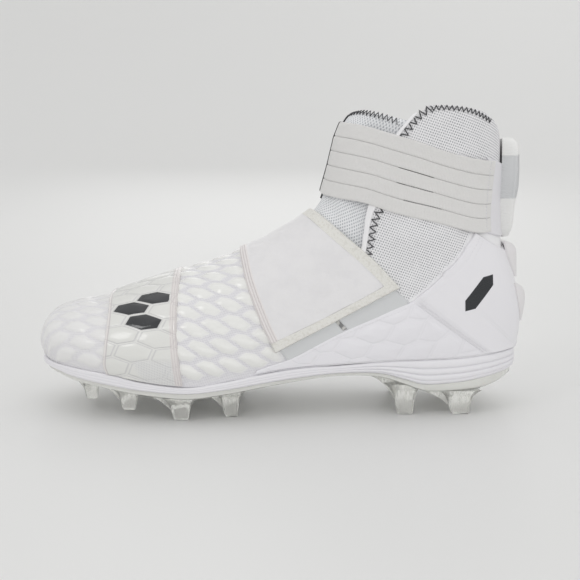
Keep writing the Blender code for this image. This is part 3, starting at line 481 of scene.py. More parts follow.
class Number:
    """A number that a shader works out, written with plain arithmetic."""

    def __init__(self, tree, socket):
        self.tree = tree
        self.socket = socket

    def work(self, operation, *others):
        """One Math node with this number as its first input."""
        node = self.tree.nodes.new("ShaderNodeMath")
        node.operation = operation
        for socket, value in zip(node.inputs, (self, *others)):
            feed(self.tree, socket, value)
        return Number(self.tree, node.outputs[0])

    __add__ = __radd__ = partialmethod(work, "ADD")
    __mul__ = __rmul__ = partialmethod(work, "MULTIPLY")
    __sub__ = partialmethod(work, "SUBTRACT")

    def __rsub__(self, other):
        return self * -1.0 + other


def feed(tree, socket, value):
    """Links a shader number to a socket, or sets the socket."""
    if isinstance(value, Number):
        tree.links.new(value.socket, socket)
    else:
        socket.default_value = value


def either(operation, function):
    """A function of arrays that works on shader numbers too."""
    def apply(a, *others):
        return a.work(operation, *others) if isinstance(a, Number) else function(a, *others)
    return apply


absolute = either("ABSOLUTE", np.abs)
wrapped = either("FLOORED_MODULO", np.mod)
largest = either("MAXIMUM", np.maximum)
smallest = either("MINIMUM", np.minimum)


def ramp(a, low, high):
    """Soft step of a shader number, falling where low is above high."""
    node = a.tree.nodes.new("ShaderNodeMapRange")
    node.interpolation_type = "SMOOTHSTEP"
    feed(a.tree, node.inputs["Value"], a)
    node.inputs["From Min"].default_value = min(low, high)
    node.inputs["From Max"].default_value = max(low, high)
    node.inputs["To Min"].default_value = float(low > high)
    node.inputs["To Max"].default_value = float(low < high)
    return Number(a.tree, node.outputs["Result"])


def line_at(a, middle, wide, narrow):
    """1 on the line where a shader number is at its middle, and 0 past a width."""
    return ramp(absolute(a - middle), wide, narrow)


class Cells:
    """Tiling of long hexagons in millimetres: half length, half of a flat edge, height, the lean
    of the rows and the turn of the flat edges in degrees."""

    def __init__(self, reach, flat, height, lean, turn):
        self.reach = reach
        self.flat = flat
        self.height = height
        self.lean = lean
        self.turn = math.radians(turn)

    def level(self, a, b):
        """Coordinates along the flat edges and across the rows."""
        y = b * math.cos(self.turn) - a * math.sin(self.turn)
        return a * math.cos(self.turn) + b * math.sin(self.turn) - y * self.lean, y

    def shape(self, x, y):
        """0 at the middle of the cell at the origin, 1 on its border and more outside it."""
        x, y = absolute(x), absolute(y)
        slope = 2 * (self.reach - self.flat) / (self.reach * self.height)
        return largest(y * (2 / self.height), x * (1 / self.reach) + y * slope)

    def lattice(self, x, y):
        """Depth in the cells of one of the two lattices."""
        period = 2 * (self.reach + self.flat)
        return self.shape(wrapped(x + period / 2, period) - period / 2,
                          wrapped(y + self.height / 2, self.height) - self.height / 2)

    def depth(self, a, b):
        """0 at the middle of a cell and 1 on its border."""
        x, y = self.level(a, b)
        return smallest(self.lattice(x, y),
                        self.lattice(x + (self.reach + self.flat), y + self.height / 2))

    def one(self, a, b, column, row):
        """Depth in a single cell; both numbers are whole, or both end in a half."""
        x, y = self.level(a, b)
        return self.shape(x - column * 2 * (self.reach + self.flat), y - row * self.height)


VAMP_CELLS = Cells(12.4, 3.8, 9.6, 0.95, 21.0)
BAND_CELLS = Cells(12.8, 5.6, 11.3, 0.90, 7.7)
QUARTER_CELLS = Cells(12.5, 4.0, 12.0, 0.8, 14.0)
STRAP_CELLS = Cells(15.0, 6.0, 12.0, 0.8, 14.0)
BLACK_CELLS = ((-3.5, 4.5), (-3.0, 4.0), (-3.5, 5.5))
HEEL_CELL = Cells(14.0, 9.0, 8.5, 0.0, 52.0)
HEEL_CELL_PLACE = (121.0, 77.0)
BLACK_FILM = (0.012, 0.014, 0.018)


class Finish:
    """A material on the Principled shader, with short ways to feed it."""

    def __init__(self, name, colour, roughness, **sockets):
        self.material = bpy.data.materials.new(name)
        self.material.use_nodes = True
        self.tree = self.material.node_tree
        self.shader = self.tree.nodes["Principled BSDF"]
        self.colour = colour
        sockets.update(Base_Color=(*colour, 1.0), Roughness=roughness)
        for socket, value in sockets.items():
            self.shader.inputs[socket.replace("_", " ")].default_value = value

    def place(self, attribute="place"):
        """The three numbers that the mesh holds at each point."""
        node = self.tree.nodes.new("ShaderNodeAttribute")
        node.attribute_name = attribute
        split = self.tree.nodes.new("ShaderNodeSeparateXYZ")
        self.tree.links.new(node.outputs["Vector"], split.inputs[0])
        return [Number(self.tree, output) for output in split.outputs]

    def noise(self, size, detail=2.0, stretch=(1.0, 1.0, 1.0)):
        """Smooth noise of the given grain in metres, from 0 to 1."""
        where = self.tree.nodes.new("ShaderNodeTexCoord")
        scale = self.tree.nodes.new("ShaderNodeMapping")
        scale.inputs["Scale"].default_value = stretch
        node = self.tree.nodes.new("ShaderNodeTexNoise")
        node.inputs["Scale"].default_value = 1 / size
        node.inputs["Detail"].default_value = detail
        self.tree.links.new(where.outputs["Object"], scale.inputs["Vector"])
        self.tree.links.new(scale.outputs["Vector"], node.inputs["Vector"])
        return Number(self.tree, node.outputs["Fac"])

    def tint(self, colour, factor):
        """Mixes a colour over what the base colour is so far."""
        node = self.tree.nodes.new("ShaderNodeMix")
        node.data_type = "RGBA"
        first, second = [s for s in node.inputs if s.type == "RGBA"]
        if isinstance(self.colour, tuple):
            first.default_value = (*self.colour, 1.0)
        else:
            self.tree.links.new(self.colour, first)
        second.default_value = (*colour, 1.0)
        feed(self.tree, node.inputs["Factor"], factor)
        self.colour = [s for s in node.outputs if s.type == "RGBA"][0]
        self.tree.links.new(self.colour, self.shader.inputs["Base Color"])

    def set(self, socket, value):
        """Feeds a socket of the shader."""
        feed(self.tree, self.shader.inputs[socket], value)

    def bump(self, height):
        """Bumps the surface by a height in millimetres."""
        node = self.tree.nodes.new("ShaderNodeBump")
        node.inputs["Distance"].default_value = MM
        feed(self.tree, node.inputs["Height"], height)
        self.tree.links.new(node.outputs["Normal"], self.shader.inputs["Normal"])


def dots(a, b, pitch, brick=0.0):
    """Distance from the nearest point of a grid whose rows shift by a share, in millimetres."""
    row = (b * (1 / pitch)).work("FLOOR")
    x = wrapped(a + row * (brick * pitch), pitch) - pitch / 2
    y = wrapped(b, pitch) - pitch / 2
    return (x * x + y * y).work("SQRT")


def wave(a, pitch):
    """A shader's sine wave of a length in millimetres."""
    return (a * (2 * math.pi / pitch)).work("SINE")


def knit_finish():
    """Upper: fine net with moulded scales on the foot, pinholed knit on the collar."""
    finish = Finish("knit_white", (0.88, 0.875, 0.89), 0.62, Sheen_Weight=0.15, Coat_Roughness=0.16)
    a, b, inside = finish.place("foot")
    c, d, leg = finish.place("leg")
    film, scale, toe = finish.place("zone")
    leg_on = ramp(leg, -0.4, 0.4)
    foot_on = 1 - leg_on
    soft = finish.noise(0.005)
    pod = ramp(VAMP_CELLS.depth(a, b) + soft * 0.34, 1.06, 0.80) * scale * foot_on
    net = ramp(dots(a + b * 0.35, b - a * 0.35, 1.05), 0.40, 0.22) * foot_on * (1 - pod) * (1 - film)
    hole = ramp(dots(c, d + c * 0.28, 1.60, 0.5), 0.62, 0.34) * leg_on
    hole = hole * (finish.noise(0.008) * 0.5 + 0.55)
    finish.tint((0.79, 0.78, 0.79), foot_on * (1 - film) * toe * 2.4)
    finish.tint((0.795, 0.785, 0.815), foot_on * (1 - pod) * (1 - film) * (0.85 - toe))
    finish.tint((0.56, 0.56, 0.59), net * (0.5 - toe * 0.8))
    finish.tint((0.82, 0.82, 0.79), pod * (0.8 - toe))
    finish.tint((0.22, 0.22, 0.25), hole * 0.80)
    finish.tint((0.74, 0.74, 0.75), inside)
    finish.set("Roughness", 0.66 - pod * 0.42 - film * 0.25)
    finish.set("Coat Weight", pod * 0.7)
    finish.bump(pod * 0.12 - hole * 0.25 - net * 0.10 + soft * foot_on * 0.12)
    return finish


def tongue_finish():
    """Tongue: finer grey mesh in slanting rows, with a black lining."""
    finish = Finish("tongue_mesh", (0.90, 0.91, 0.93), 0.75, Sheen_Weight=0.15)
    a, b, inside = finish.place()
    hole = ramp(dots(a * 0.75 + b * 0.75, b * 0.75 - a * 0.75, 1.65), 0.66, 0.34)
    finish.tint((0.30, 0.32, 0.36), hole * 0.54)
    finish.tint((0.03, 0.03, 0.035), inside)
    finish.bump(finish.noise(0.0012) * 0.06 - hole * 0.25)
    return finish


def film_finish(name, colour, roughness, cells, line, coat):
    """Moulded film with a faint tiling of double lines pressed into it."""
    finish = Finish(name, colour, roughness, Coat_Weight=coat, Coat_Roughness=0.12)
    a, b, _ = finish.place("foot")
    cell = cells.depth(a, b)
    finish.tint((0.50, 0.49, 0.52), line_at(cell, 0.90, 0.065, 0.02) * line)
    finish.bump(finish.noise(0.006) * 0.10 - ramp(cell, 0.86, 0.97) * 0.12)
    return finish


def band_finish():
    """Forefoot band: glossy film with fine hexagon outlines, three of its cells in black."""
    finish = film_finish("band_film_gloss", (0.755, 0.755, 0.73), 0.30, BAND_CELLS, 0.45, 0.6)
    a, b, _ = finish.place("foot")
    front, rear, _ = finish.place("rim")
    cloth, _, _ = finish.place("zone")
    depth = BAND_CELLS.one(a, b, *BLACK_CELLS[0])
    for column, row in BLACK_CELLS[1:]:
        depth = smallest(depth, BAND_CELLS.one(a, b, column, row))
    black = ramp(depth, 0.88, 0.86) * ramp(rear, 5.0, 5.2)
    threads = wave(a + b, 1.9) * wave(b - a, 1.9)
    lines = line_at(wrapped(rear, 1.5), 0.75, 0.30, 0.12) * ramp(rear, 4.8, 4.4)
    finish.tint((0.78, 0.73, 0.72), ramp(front, 2.6, 2.1) * 0.6)
    finish.tint((0.48, 0.45, 0.46), line_at(front, 2.0, 0.55, 0.20) * 0.6)
    finish.tint((0.74, 0.74, 0.74), cloth * 0.7)
    finish.tint((0.50, 0.50, 0.51), ramp(threads, 0.1, 0.7) * cloth * 0.7)
    finish.tint((0.76, 0.70, 0.69), ramp(rear, 4.6, 4.0) * 0.55)
    finish.tint((0.55, 0.50, 0.51), lines * 0.5)
    finish.tint(BLACK_FILM, black)
    finish.set("Roughness", 0.30 - black * 0.16 + cloth * 0.3)
    return finish


def strap_finish():
    """Midfoot strap: smooth face, piped front edge and rough woven border."""
    finish = Finish("strap_face", (0.785, 0.775, 0.785), 0.48, Coat_Weight=0.15, Coat_Roughness=0.3)
    a, b, _ = finish.place("place")
    front, rear, end = finish.place("rim")
    blotch = finish.noise(0.012, 3.0)
    grain = finish.noise(0.0016, 3.0)
    border = largest(ramp(rear, 7.2, 6.6), ramp(end, 8.0, 7.3))
    piping = ramp(front, 5.6, 4.8) * (1 - border)
    lines = line_at(wrapped(front, 1.6), 0.8, 0.34, 0.14) * piping
    finish.tint((0.72, 0.71, 0.725), ramp(blotch, 0.42, 0.66) * 0.3)
    finish.tint((0.79, 0.78, 0.72), border * (0.45 + grain * 0.5))
    finish.tint((0.62, 0.60, 0.56), border * ramp(grain, 0.50, 0.62) * 0.38)
    finish.tint((0.80, 0.76, 0.75), piping * 0.8)
    finish.tint((0.62, 0.56, 0.56), lines * 0.45)
    finish.set("Roughness", 0.48 + border * 0.35)
    finish.bump((grain * 0.5 + wave(a, 1.6) * wave(b, 1.6) * 0.12) * border * 0.5
                + finish.noise(0.0006) * 0.03 - lines * 0.2 + blotch * (1 - border) * 0.9)
    return finish


def elastic_finish():
    """Ankle strap: fine ribbed elastic, with dark seam lines between the bands and painted shade in the
    slits.
    """
    finish = Finish("elastic_band", (0.81, 0.80, 0.79), 0.75, Sheen_Weight=0.2)
    a, b, seam = finish.place()
    finish.tint((0.73, 0.72, 0.71), finish.noise(0.003, 3.0, (1.0, 1.0, 3.0)) * 0.5)
    # Dark seam lines between the bands, and painted shade where the slits open.
    finish.tint((0.20, 0.20, 0.20), seam * 0.8)
    finish.bump(wave(a, 0.9) * 0.06 + wave(b, 0.7) * 0.06 + finish.noise(0.0010) * 0.16)
    return finish


def plain_finish(name, colour, roughness, grain, height, **sockets):
    """A plain moulded or cloth finish with fine grain and slight blotches."""
    finish = Finish(name, colour, roughness, **sockets)
    finish.tint(tuple(0.93 * c for c in colour), finish.noise(0.03) * 0.6)
    finish.bump(finish.noise(grain, 3.0) * height)
    return finish


def counter_finish():
    """Heel counter: satin film with one plain dark cell."""
    finish = Finish("satin_film", (0.83, 0.82, 0.85), 0.40, Coat_Weight=0.25, Coat_Roughness=0.2)
    x, z, _ = finish.place()
    cell = HEEL_CELL.shape(*HEEL_CELL.level(x - HEEL_CELL_PLACE[0], z - HEEL_CELL_PLACE[1]))
    black = ramp(cell, 1.0, 0.97)
    finish.tint(BLACK_FILM, black)
    finish.set("Roughness", 0.40 - black * 0.15)
    finish.bump(finish.noise(0.0008) * 0.03 + black * 0.15)
    return finish


def loop_finish():
    """Loop strip: smooth pale grey cloth."""
    finish = Finish("loop_grey", (0.65, 0.66, 0.67), 0.65, Sheen_Weight=0.3)
    finish.bump(finish.noise(0.0006, 3.0) * 0.06)
    return finish


def gap_finish():
    """Dark mottled backing in the gap of the loop strip."""
    finish = Finish("loop_backing", (0.25, 0.25, 0.25), 0.9)
    finish.tint((0.62, 0.61, 0.59), ramp(finish.noise(0.0025, 3.0), 0.45, 0.62))
    finish.bump(finish.noise(0.0008) * 0.2)
    return finish


def tab_finish():
    """Heel tab: webbing with a grey ribbed band."""
    finish = Finish("tab_cloth", (0.84, 0.84, 0.83), 0.7, Sheen_Weight=0.2)
    a, b, grey = finish.place()
    finish.tint((0.65, 0.66, 0.67), grey)
    finish.bump(wave(a, 1.5) * (grey * 0.22 + 0.03) + wave(a, 1.2) * wave(b, 1.2) * 0.05)
    return finish


def clear_finish(name, colour, roughness, clearness, flutes):
    """Clear moulding, faintly yellow, with fine upright flutes of a height in millimetres."""
    finish = Finish(name, colour, roughness, Transmission_Weight=clearness, IOR=1.38,
                    Coat_Weight=0.6, Coat_Roughness=0.03)
    streak = finish.noise(0.0022, 2.0, (1.0, 1.0, 0.12))
    finish.bump(finish.noise(0.006) * 0.25 + streak * flutes)
    return finish


def foam_finish():
    """Midsole: moulded foam, satin, with painted shade in the grooves."""
    finish = Finish("foam_white", (0.83, 0.82, 0.85), 0.45, Coat_Weight=0.15, Coat_Roughness=0.3)
    _, _, groove = finish.place()
    # Painted shade in the rib grooves: darker where a groove is deeper.
    finish.tint((0.64, 0.63, 0.67), groove * 0.45)
    finish.bump(finish.noise(0.0012, 3.0) * 0.03)
    return finish


def add_piece(name, points, faces, finish, places, node):
    """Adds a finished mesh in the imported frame: faces out, shaded smooth, riding on the shoe."""
    mesh = bpy.data.meshes.new(name)
    mesh.from_pydata((np.asarray(points) + SHIFT).tolist(), [], faces)
    mesh.materials.append(finish.material)
    for key, values in places.items():
        attribute = mesh.attributes.new(key, "FLOAT_VECTOR", "POINT")
        attribute.data.foreach_set("vector", np.asarray(values, np.float32).ravel())
    edit = bmesh.new()
    edit.from_mesh(mesh)
    bmesh.ops.recalc_face_normals(edit, faces=edit.faces)
    edit.to_mesh(mesh)
    edit.free()
    mesh.shade_smooth()
    mesh.set_sharp_from_angle(angle=math.radians(50))
    piece = bpy.data.objects.new(name, mesh)
    bpy.context.scene.collection.objects.link(piece)
    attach(piece, "root")
    if node:
        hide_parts(*node)
    return piece


class Sheet:
    """A wall made of grids with an outer and an inner layer, closed along its edges."""

    def __init__(self):
        self.grids = []
        self.size = 0

    def grid(self, outer, inner, keep=None, **places):
        """Adds a grid of rows and columns; places are triples of arrays or numbers."""
        shape = outer.shape[:2]
        number = np.arange(outer.size // 3).reshape(shape) + self.size
        quads = np.stack([number[:-1, :-1], number[1:, :-1], number[1:, 1:], number[:-1, 1:]], -1)
        quads = quads.reshape(-1, 4) if keep is None else quads[keep]
        places = {key: np.stack([np.broadcast_to(c, shape).ravel() for c in value], -1)
                  for key, value in places.items()}
        self.grids.append((outer.reshape(-1, 3), inner.reshape(-1, 3), quads, places))
        self.size += number.size
        return self

    def solid(self, name, finish, node, slot, inside_key=None):
        """Joins points that meet, closes the wall and adds the piece."""
        outer, inner, quads = (np.concatenate(part) for part in list(zip(*self.grids))[:3])
        _, first, number = np.unique(np.round(outer, 5) + 0.0, axis=0, return_index=True,
                                     return_inverse=True)
        number = number.ravel()
        size = len(first)
        total = np.zeros((size, 3))
        np.add.at(total, number, inner)
        inner = total / np.bincount(number, minlength=size)[:, None]
        faces = []
        for quad in number[quads].tolist():
            face = [c for k, c in enumerate(quad) if c != quad[k - 1]]
            if len(set(face)) >= 3 and len(set(face)) == len(face):
                faces.append(face)
        edges = {}
        for face in faces:
            for k, a in enumerate(face):
                edges.setdefault(frozenset((face[k - 1], a)), []).append((face[k - 1], a))
        walls = [(b, a, size + a, size + b) for uses in edges.values() if len(uses) == 1
                 for a, b in uses]
        back = [[size + a for a in reversed(face)] for face in faces]
        places = {}
        for key in self.grids[0][3]:
            values = np.concatenate([grid[3][key] for grid in self.grids])[first]
            below = values.copy()
            if key == inside_key:
                below[:, 2] = 1.0
            places[key] = np.concatenate([values, below])
        return add_piece(name, np.concatenate([outer[first], inner]), faces + walls + back,
                         finish, places, node)


def rounded(distance, radius):
    """Share of the full thickness at a distance from an edge with a round."""
    f = np.clip(distance / radius, 0, 1)
    return 0.3 + 0.7 * np.sqrt(1 - (1 - f) ** 2)


def spread(count, crowd=0.55):
    """Columns from 0 to 1 that lie closer at both ends."""
    f = np.linspace(0, 1, count + 1)
    return f - crowd * np.sin(2 * math.pi * f) / (2 * math.pi)


def between(table, r, a):
    """Rows t and places v at share a of the way from an overlay's front edge to its rear edge."""
    return (table.at(r, "front_t") * (1 - a) + table.at(r, "rear_t") * a,
            table.at(r, "front_v") * (1 - a) + table.at(r, "rear_v") * a)


def overlay(table, rows, columns, start=0.0, end=None, even=False):
    """Rows t and places v between the two edges of an overlay, its lift, and where it lies on its
    own face: distances in metres from the front, rear, first and last edge. Columns of an even
    overlay lie at their shares of its width on the foot."""
    end = len(table.rows) - 1 if end is None else end
    r = (start + (end - start) * np.asarray(rows, float))[:, None]
    a = np.asarray(columns, float)[None, :]
    if even:
        fine = np.linspace(0, 1, 61)
        run, width = lengths(surface(*between(table, r, fine[None, :])), 1)
        a = np.stack([np.interp(a[0], share, fine) for share in run / width])
    t, v = between(table, r, a)
    lift = np.maximum(table.at(r, "lift") + 0 * a, 0.0)
    points = surface(t, v)
    across, width = lengths(points, 1)
    along, length = lengths(points, 0)
    return t, v, lift, (across, width - across, along, length - along)


def tube_faces(size, rings, base=0):
    """Faces round and at both ends of rings of points."""
    faces = [(a + i, a + (i + 1) % size, a + size + (i + 1) % size, a + size + i)
             for a in range(base, base + (rings - 1) * size, size) for i in range(size)]
    last = base + (rings - 1) * size
    return [*faces, tuple(range(base + size - 1, base - 1, -1)), tuple(range(last, last + size))]


def route(path, off, spacing):
    """A smooth path on the surface through (t, v) points: positions, directions and normals."""
    table = Table("t v", path)
    fine = np.linspace(0, len(path) - 1, 60 * len(path))
    run, whole = lengths(surface(table.at(fine, "t"), table.at(fine, "v"), off), 0)
    count = max(int(round(float(whole[0]) / spacing)), 2)
    place = np.interp(np.linspace(0, float(whole[0]), count + 1), run, fine)
    t, v = table.at(place, "t"), table.at(place, "v")
    position = surface(t, v, off)
    return position, unit(np.gradient(position, axis=0)), normal_at(t, v)


def thread_piece(name, runs, radius, finish, sides=6):
    """A piece made of round threads along several runs of points."""
    turn = np.linspace(0, 2 * math.pi, sides, endpoint=False)[None, :, None]
    points, faces = [], []
    for run in runs:
        run = np.asarray(run, float)
        direction = unit(np.gradient(run, axis=0))
        side = unit(np.cross(direction, (0.31, 0.17, 0.93)))
        top = np.cross(side, direction)
        faces += tube_faces(sides, len(run), len(points))
        rings = np.cos(turn) * side[:, None] + np.sin(turn) * top[:, None]
        points += (run[:, None] + radius * rings).reshape(-1, 3).tolist()
    return add_piece(name, points, faces, finish, {}, ())


def flap_path(path, side):
    """A seam's path on one side of the shoe, lower at the front corner of the inner flap."""
    return [(t - inner_drop(side * v), side * v) for t, v in path]


def zigzag(path, off, width, pitch):
    """One zigzag seam along (t, v) points, with width and pitch in millimetres."""
    position, direction, normal = route(path, off, pitch * MM / 2)
    across = np.cross(normal, direction)
    sign = np.where(np.arange(len(position)) % 2 == 0, 1.0, -1.0)[:, None]
    corners = position + across * sign * width * MM / 2
    fine = np.linspace(0, len(corners) - 1, 5 * (len(corners) - 1) + 1)
    run = np.stack([np.interp(fine, np.arange(len(corners)), corners[:, k]) for k in range(3)], -1)
    depth = np.abs(np.mod(fine, 1.0) - 0.5)[:, None] * 2
    base = np.clip(np.round(fine).astype(int), 0, len(normal) - 1)
    return run - normal[base] * 0.25 * MM * depth ** 3


def stitches(path, side, off, pitch, length, shift=(0.0, 0.0), bow=0.12):
    """A row of short stitches on one side of the shoe, with lengths in millimetres."""
    path = [(t + shift[0], side * (v + shift[1])) for t, v in path]
    reach = length * MM
    return [[p - d * reach / 2 - n * bow * MM, p - d * reach / 5, p + d * reach / 5,
             p + d * reach / 2 - n * bow * MM] for p, d, n in zip(*route(path, off, pitch * MM))]


def throat_half(t):
    """Half width of the throat in v at row t."""
    half = THROAT.where("t", t, "half")
    return np.where(np.asarray(t) <= THROAT.rows[0, 0], 0.0, np.maximum(half, 0.0))


def inner_drop(v):
    """How much lower the front corner of the inner flap ends, in rows."""
    return INNER_DROP_ROWS * (1 - smoothstep(0.46, 0.66, np.abs(v))) * (np.asarray(v) > 0)


def warped(t, v):
    """Moves the upper rows of the upper so that its last row follows the rim."""
    share = np.clip((t - WARP_FROM) / (LAST_ROW - WARP_FROM), 0, 1)
    top = RIM.where("v", np.abs(v), "t") - inner_drop(v)
    return np.where(t > WARP_FROM, WARP_FROM + share * (top - WARP_FROM), t)


def collar_side(t, v):
    """Signed distance in millimetres over the collar line: above zero on the pinholed knit."""
    line = COLLAR_LINE.where("t", t, "v")
    return np.minimum((line - np.abs(v)) * 1.1 * BALL_WIDTH / MM, (t - COLLAR_FRONT) * 12)


def build_upper(finish):
    """The knit upper: moulded scales on toe and vamp, soft creases, pinholed collar."""
    sheet = Sheet()
    lines = np.concatenate([np.arange(0, 17, 0.0625), np.arange(17, 26.01, 0.0833)])[:, None]
    for side in (-1, 1):
        v = side * (1 - (1 - throat_half(lines)) * np.linspace(0, 1, 59)[None, :])
        t = warped(lines + 0 * v, v)
        leg = collar_side(t, v)
        inward = np.abs(v) - throat_half(t)
        bare = (smoothstep(0.2, 1.4, t) * (1 - smoothstep(5.3, 5.6, t))
                + smoothstep(6.5, 6.8, t) * (1 - smoothstep(8.9, 9.3, t)))
        scales = bare * (1 - smoothstep(0.95, 0.985, np.abs(v)))
        a, b = foot_place(t, v)
        strong = 0.65 + 0.35 * smoothstep(5, 7, t)
        pods = POD_HEIGHT * scales * strong * (1 - smoothstep(0.30, 0.95, VAMP_CELLS.depth(a, b)))
        puff = PUFF_HEIGHT * smoothstep(1.0, 9.0, leg) * (1 - smoothstep(21.0, 22.0, t))
        puff = puff * smoothstep(14.2, 16.5, t) * smoothstep(0.02, 0.12, inward)
        edge = 1 - smoothstep(0.0, 0.02, inward) * smoothstep(10.5, 11.5, t)
        film = (1 - smoothstep(-0.4, 0.4, leg)) * smoothstep(9.5, 10.5, t)
        off = pods + puff + creases(UPPER_CREASES, t, v) * (1 - 0.5 * edge * (t > 11))
        sheet.grid(surface(t, v, off), surface(t, v, -UPPER_WALL),
                   foot=(a, b, 0.0), leg=(*leg_place(t, v), leg),
                   zone=(film, scales * (0.6 + 0.4 * strong), 1 - strong))
    return sheet.solid("knit_upper", finish, ("upper",), "mesh_knit", inside_key="foot")


def build_tongue(finish):
    """Padded tongue with a fold at the bend of the ankle and a rolled top edge."""
    base = np.linspace(0, 1, 150)[:, None]
    half = np.maximum(throat_half(TONGUE_FROM + base * (24.5 - TONGUE_FROM)), 0.16) + 0.10
    v = np.linspace(-1, 1, 81)[None, :] * half
    t = TONGUE_FROM + base * (TONGUE_TOP.where("v", np.abs(v), "t") - TONGUE_FROM)
    under = -(UPPER_WALL + LAYER_GAP + 2 * CLEARANCE)
    raised = smoothstep(0.05, 0.20, throat_half(t) - np.abs(v)) * smoothstep(10.8, 12.2, t)
    outer = under + raised * (-under - LAYER_GAP)
    outer = outer + creases(TONGUE_CREASES, t, v) * raised * smoothstep(0.0, 0.1, 1 - base)
    roll = 1.2 * MM * smoothstep(0.985, 1.0, base)
    sheet = Sheet().grid(surface(t, v, outer - roll), surface(t, v, under - TONGUE_WALL + roll * 0.5),
                         place=(arc(t, v) / MM, np.interp(t, RIDGE_ROWS, RIDGE_RUN) / MM, 0.0))
    piece = sheet.solid("mesh_tongue", finish, ("tongue",), "tongue_knit", inside_key="place")


def outline(offset):
    """The feather line on the ground plane, moved out by an offset: outer side, then inner side."""
    t = np.concatenate([np.linspace(0, 1, 13)[:-1] ** 2, np.arange(1, 14, 0.1),
                        np.linspace(14, 17, 49)])
    ridge = LAST.at(t, "ridge")
    outer, inner = (np.stack([edge_line(t, "edge_x"), ridge + side * np.maximum(edge_line(t, edge), 0)],
                             -1) for side, edge in ((-1, "outer_edge"), (1, "inner_edge")))
    for end in (0, -1):
        outer[end, 1] = inner[end, 1] = ridge[end]
    loop = np.concatenate([outer, inner[-2:0:-1], outer[:1]])
    run, whole = lengths(loop, 0)
    place = np.linspace(0, whole[0], SOLE_POINTS + 1)[:-1]
    even = np.stack([np.interp(place, run, loop[:, k]) for k in range(2)], -1)
    for _ in range(6):
        even = 0.5 * even + 0.25 * (np.roll(even, 1, axis=0) + np.roll(even, -1, axis=0))
    tangent = unit(np.roll(even, -2, axis=0) - np.roll(even, 2, axis=0))
    out = np.stack([tangent[:, 1], -tangent[:, 0]], -1)
    return even + out * np.reshape(offset(even[:, 0]), (-1, 1))


def slab(name, levels, finish, node, groove_shade=None):
    """A closed layer of the sole: rings of the feather line, each with a height and an offset."""
    points, places = [], []
    size, last = SOLE_POINTS, len(levels) - 1
    for k, (height, offset) in enumerate(levels):
        ring = outline(offset)
        z = height(ring[:, 0])
        # The third place number carries how much painted shade a ring's groove gets.
        groove = np.full(size, 0.0 if groove_shade is None else groove_shade[k])
        points.append(np.column_stack([ring, z]))
        places.append(np.column_stack([ring[:, 0] / MM, z / MM, groove]))
    faces = tube_faces(size, len(levels))[:-2]
    for base in (0, last * size):
        for i in range(size // 2 - 1):
            corners = (i, i + 1, (size - i - 1) % size, (size - i) % size)
            faces.append(tuple(dict.fromkeys(base + corner for corner in corners)))
        faces.append(tuple(base + size // 2 + k for k in (-1, 0, 1)))
    return add_piece(name, np.concatenate(points), faces, finish,
                     {"place": np.concatenate(places)}, node)


def build_midsole(finish):
    """Foam layer with a bulging side and rib grooves that deepen towards the heel."""
    def level(share, lip, groove):
        def height(x):
            low = sole_height(x, "foam_bottom")
            return low + share * (sole_height(x, "foam_top") - low)

        def offset(x):
            ribs = smoothstep(0.08, 0.26, x / LAST_LENGTH)
            return lip * MIDSOLE_LIP - groove * RIB_DEPTH * (0.15 + 0.85 * ribs)

        return height, offset

    # The groove column also sets the painted shade in each groove.
    slab("foam_midsole", [level(*row) for row in SIDE.rows], finish, ("midsole",),
         SIDE.column("groove"))


def build_insole(finish):
    """Liner inside the upper."""
    def level(rise, extra):
        return (lambda x: sole_height(x, "foam_top") + CLEARANCE + rise,
                lambda x: -(UPPER_WALL + 2 * CLEARANCE) - extra)

    slab("sock_insole", [level(0.0, 0.0), level(INSOLE_THICKNESS * 0.8, 0.0),
                         level(INSOLE_THICKNESS, 0.8 * MM)], finish, ("insole",))


def build_plate(finish, stud_finish):
    """Milky plate with clear chevron studs and the thin webs in front of them."""
    def level(share, rise, inset):
        def height(x):
            return (sole_height(x, "plate_bottom") * share
                    + sole_height(x, "foam_bottom") * (1 - share) + rise)

        return height, lambda x: -inset * PLATE_INSET

    slab("clear_plate_base", [level(1.0, 0.0, 4.0), level(1.0, 0.3 * MM, 2.4), level(0.7, 0.0, 0.8),
                              level(0.0, -CLEARANCE, 0.6)], finish, ("outsole_plate",))
    for k, (x, y, length, width, clear, paired) in enumerate(STUDS.rows):
        centre = float(FOOT.where("x", x, "centre")) * BALL_WIDTH
        half = float(FOOT.where("x", x, "half")) * BALL_WIDTH
        for side in (-1, 1) if paired else (0,):
            add_stud(f"stud_{k + 1}_{('outer', 'middle', 'inner')[side + 1]}", x * LAST_LENGTH,
                     centre + side * y * half, length * STUD_LENGTH, width * STUD_WIDTH,
                     clear * HEEL_HEIGHT, stud_finish)


def add_stud(name, x, y, length, width, tip, finish, steps=10):
    """One stud, a flared chevron blade, with the thin web in front of it."""
    root = float(sole_height(x, "plate_bottom")) + 0.1 * MM
    points = []
    for f in STUD_LEVELS:
        scale = (1 - (1 - STUD_TAPER) * f ** 0.7) * (1 + 0.45 * math.exp(-f / 0.16))
        scale *= 0.90 if f == 1 else 1.0
        points += [(x + 0.06 * length * f + length / 2 * scale * a,
                    y + width / 2 * min(scale, 1.1) * b, root + (tip - root) * f)
                   for a, b in STUD_SHAPE]
    faces = tube_faces(len(STUD_SHAPE), len(STUD_LEVELS)) + tube_faces(4, steps + 1, len(points))
    for f in np.linspace(0, 1, steps + 1):
        front = x - length * 0.30 - f * (ARM_REACH * length / STUD_LENGTH + length * 0.2)
        top = float(sole_height(front, "plate_bottom")) + 0.1 * MM
        low = top + (tip - root) * 0.62 * (1 - f) ** 2.2 - 0.3 * MM
        points += [(front, y + WEB_HALF * share, z)
                   for share, z in ((-1, top), (-0.6, low), (0.6, low), (1, top))]
    add_piece(name, points, faces, finish, {}, ())


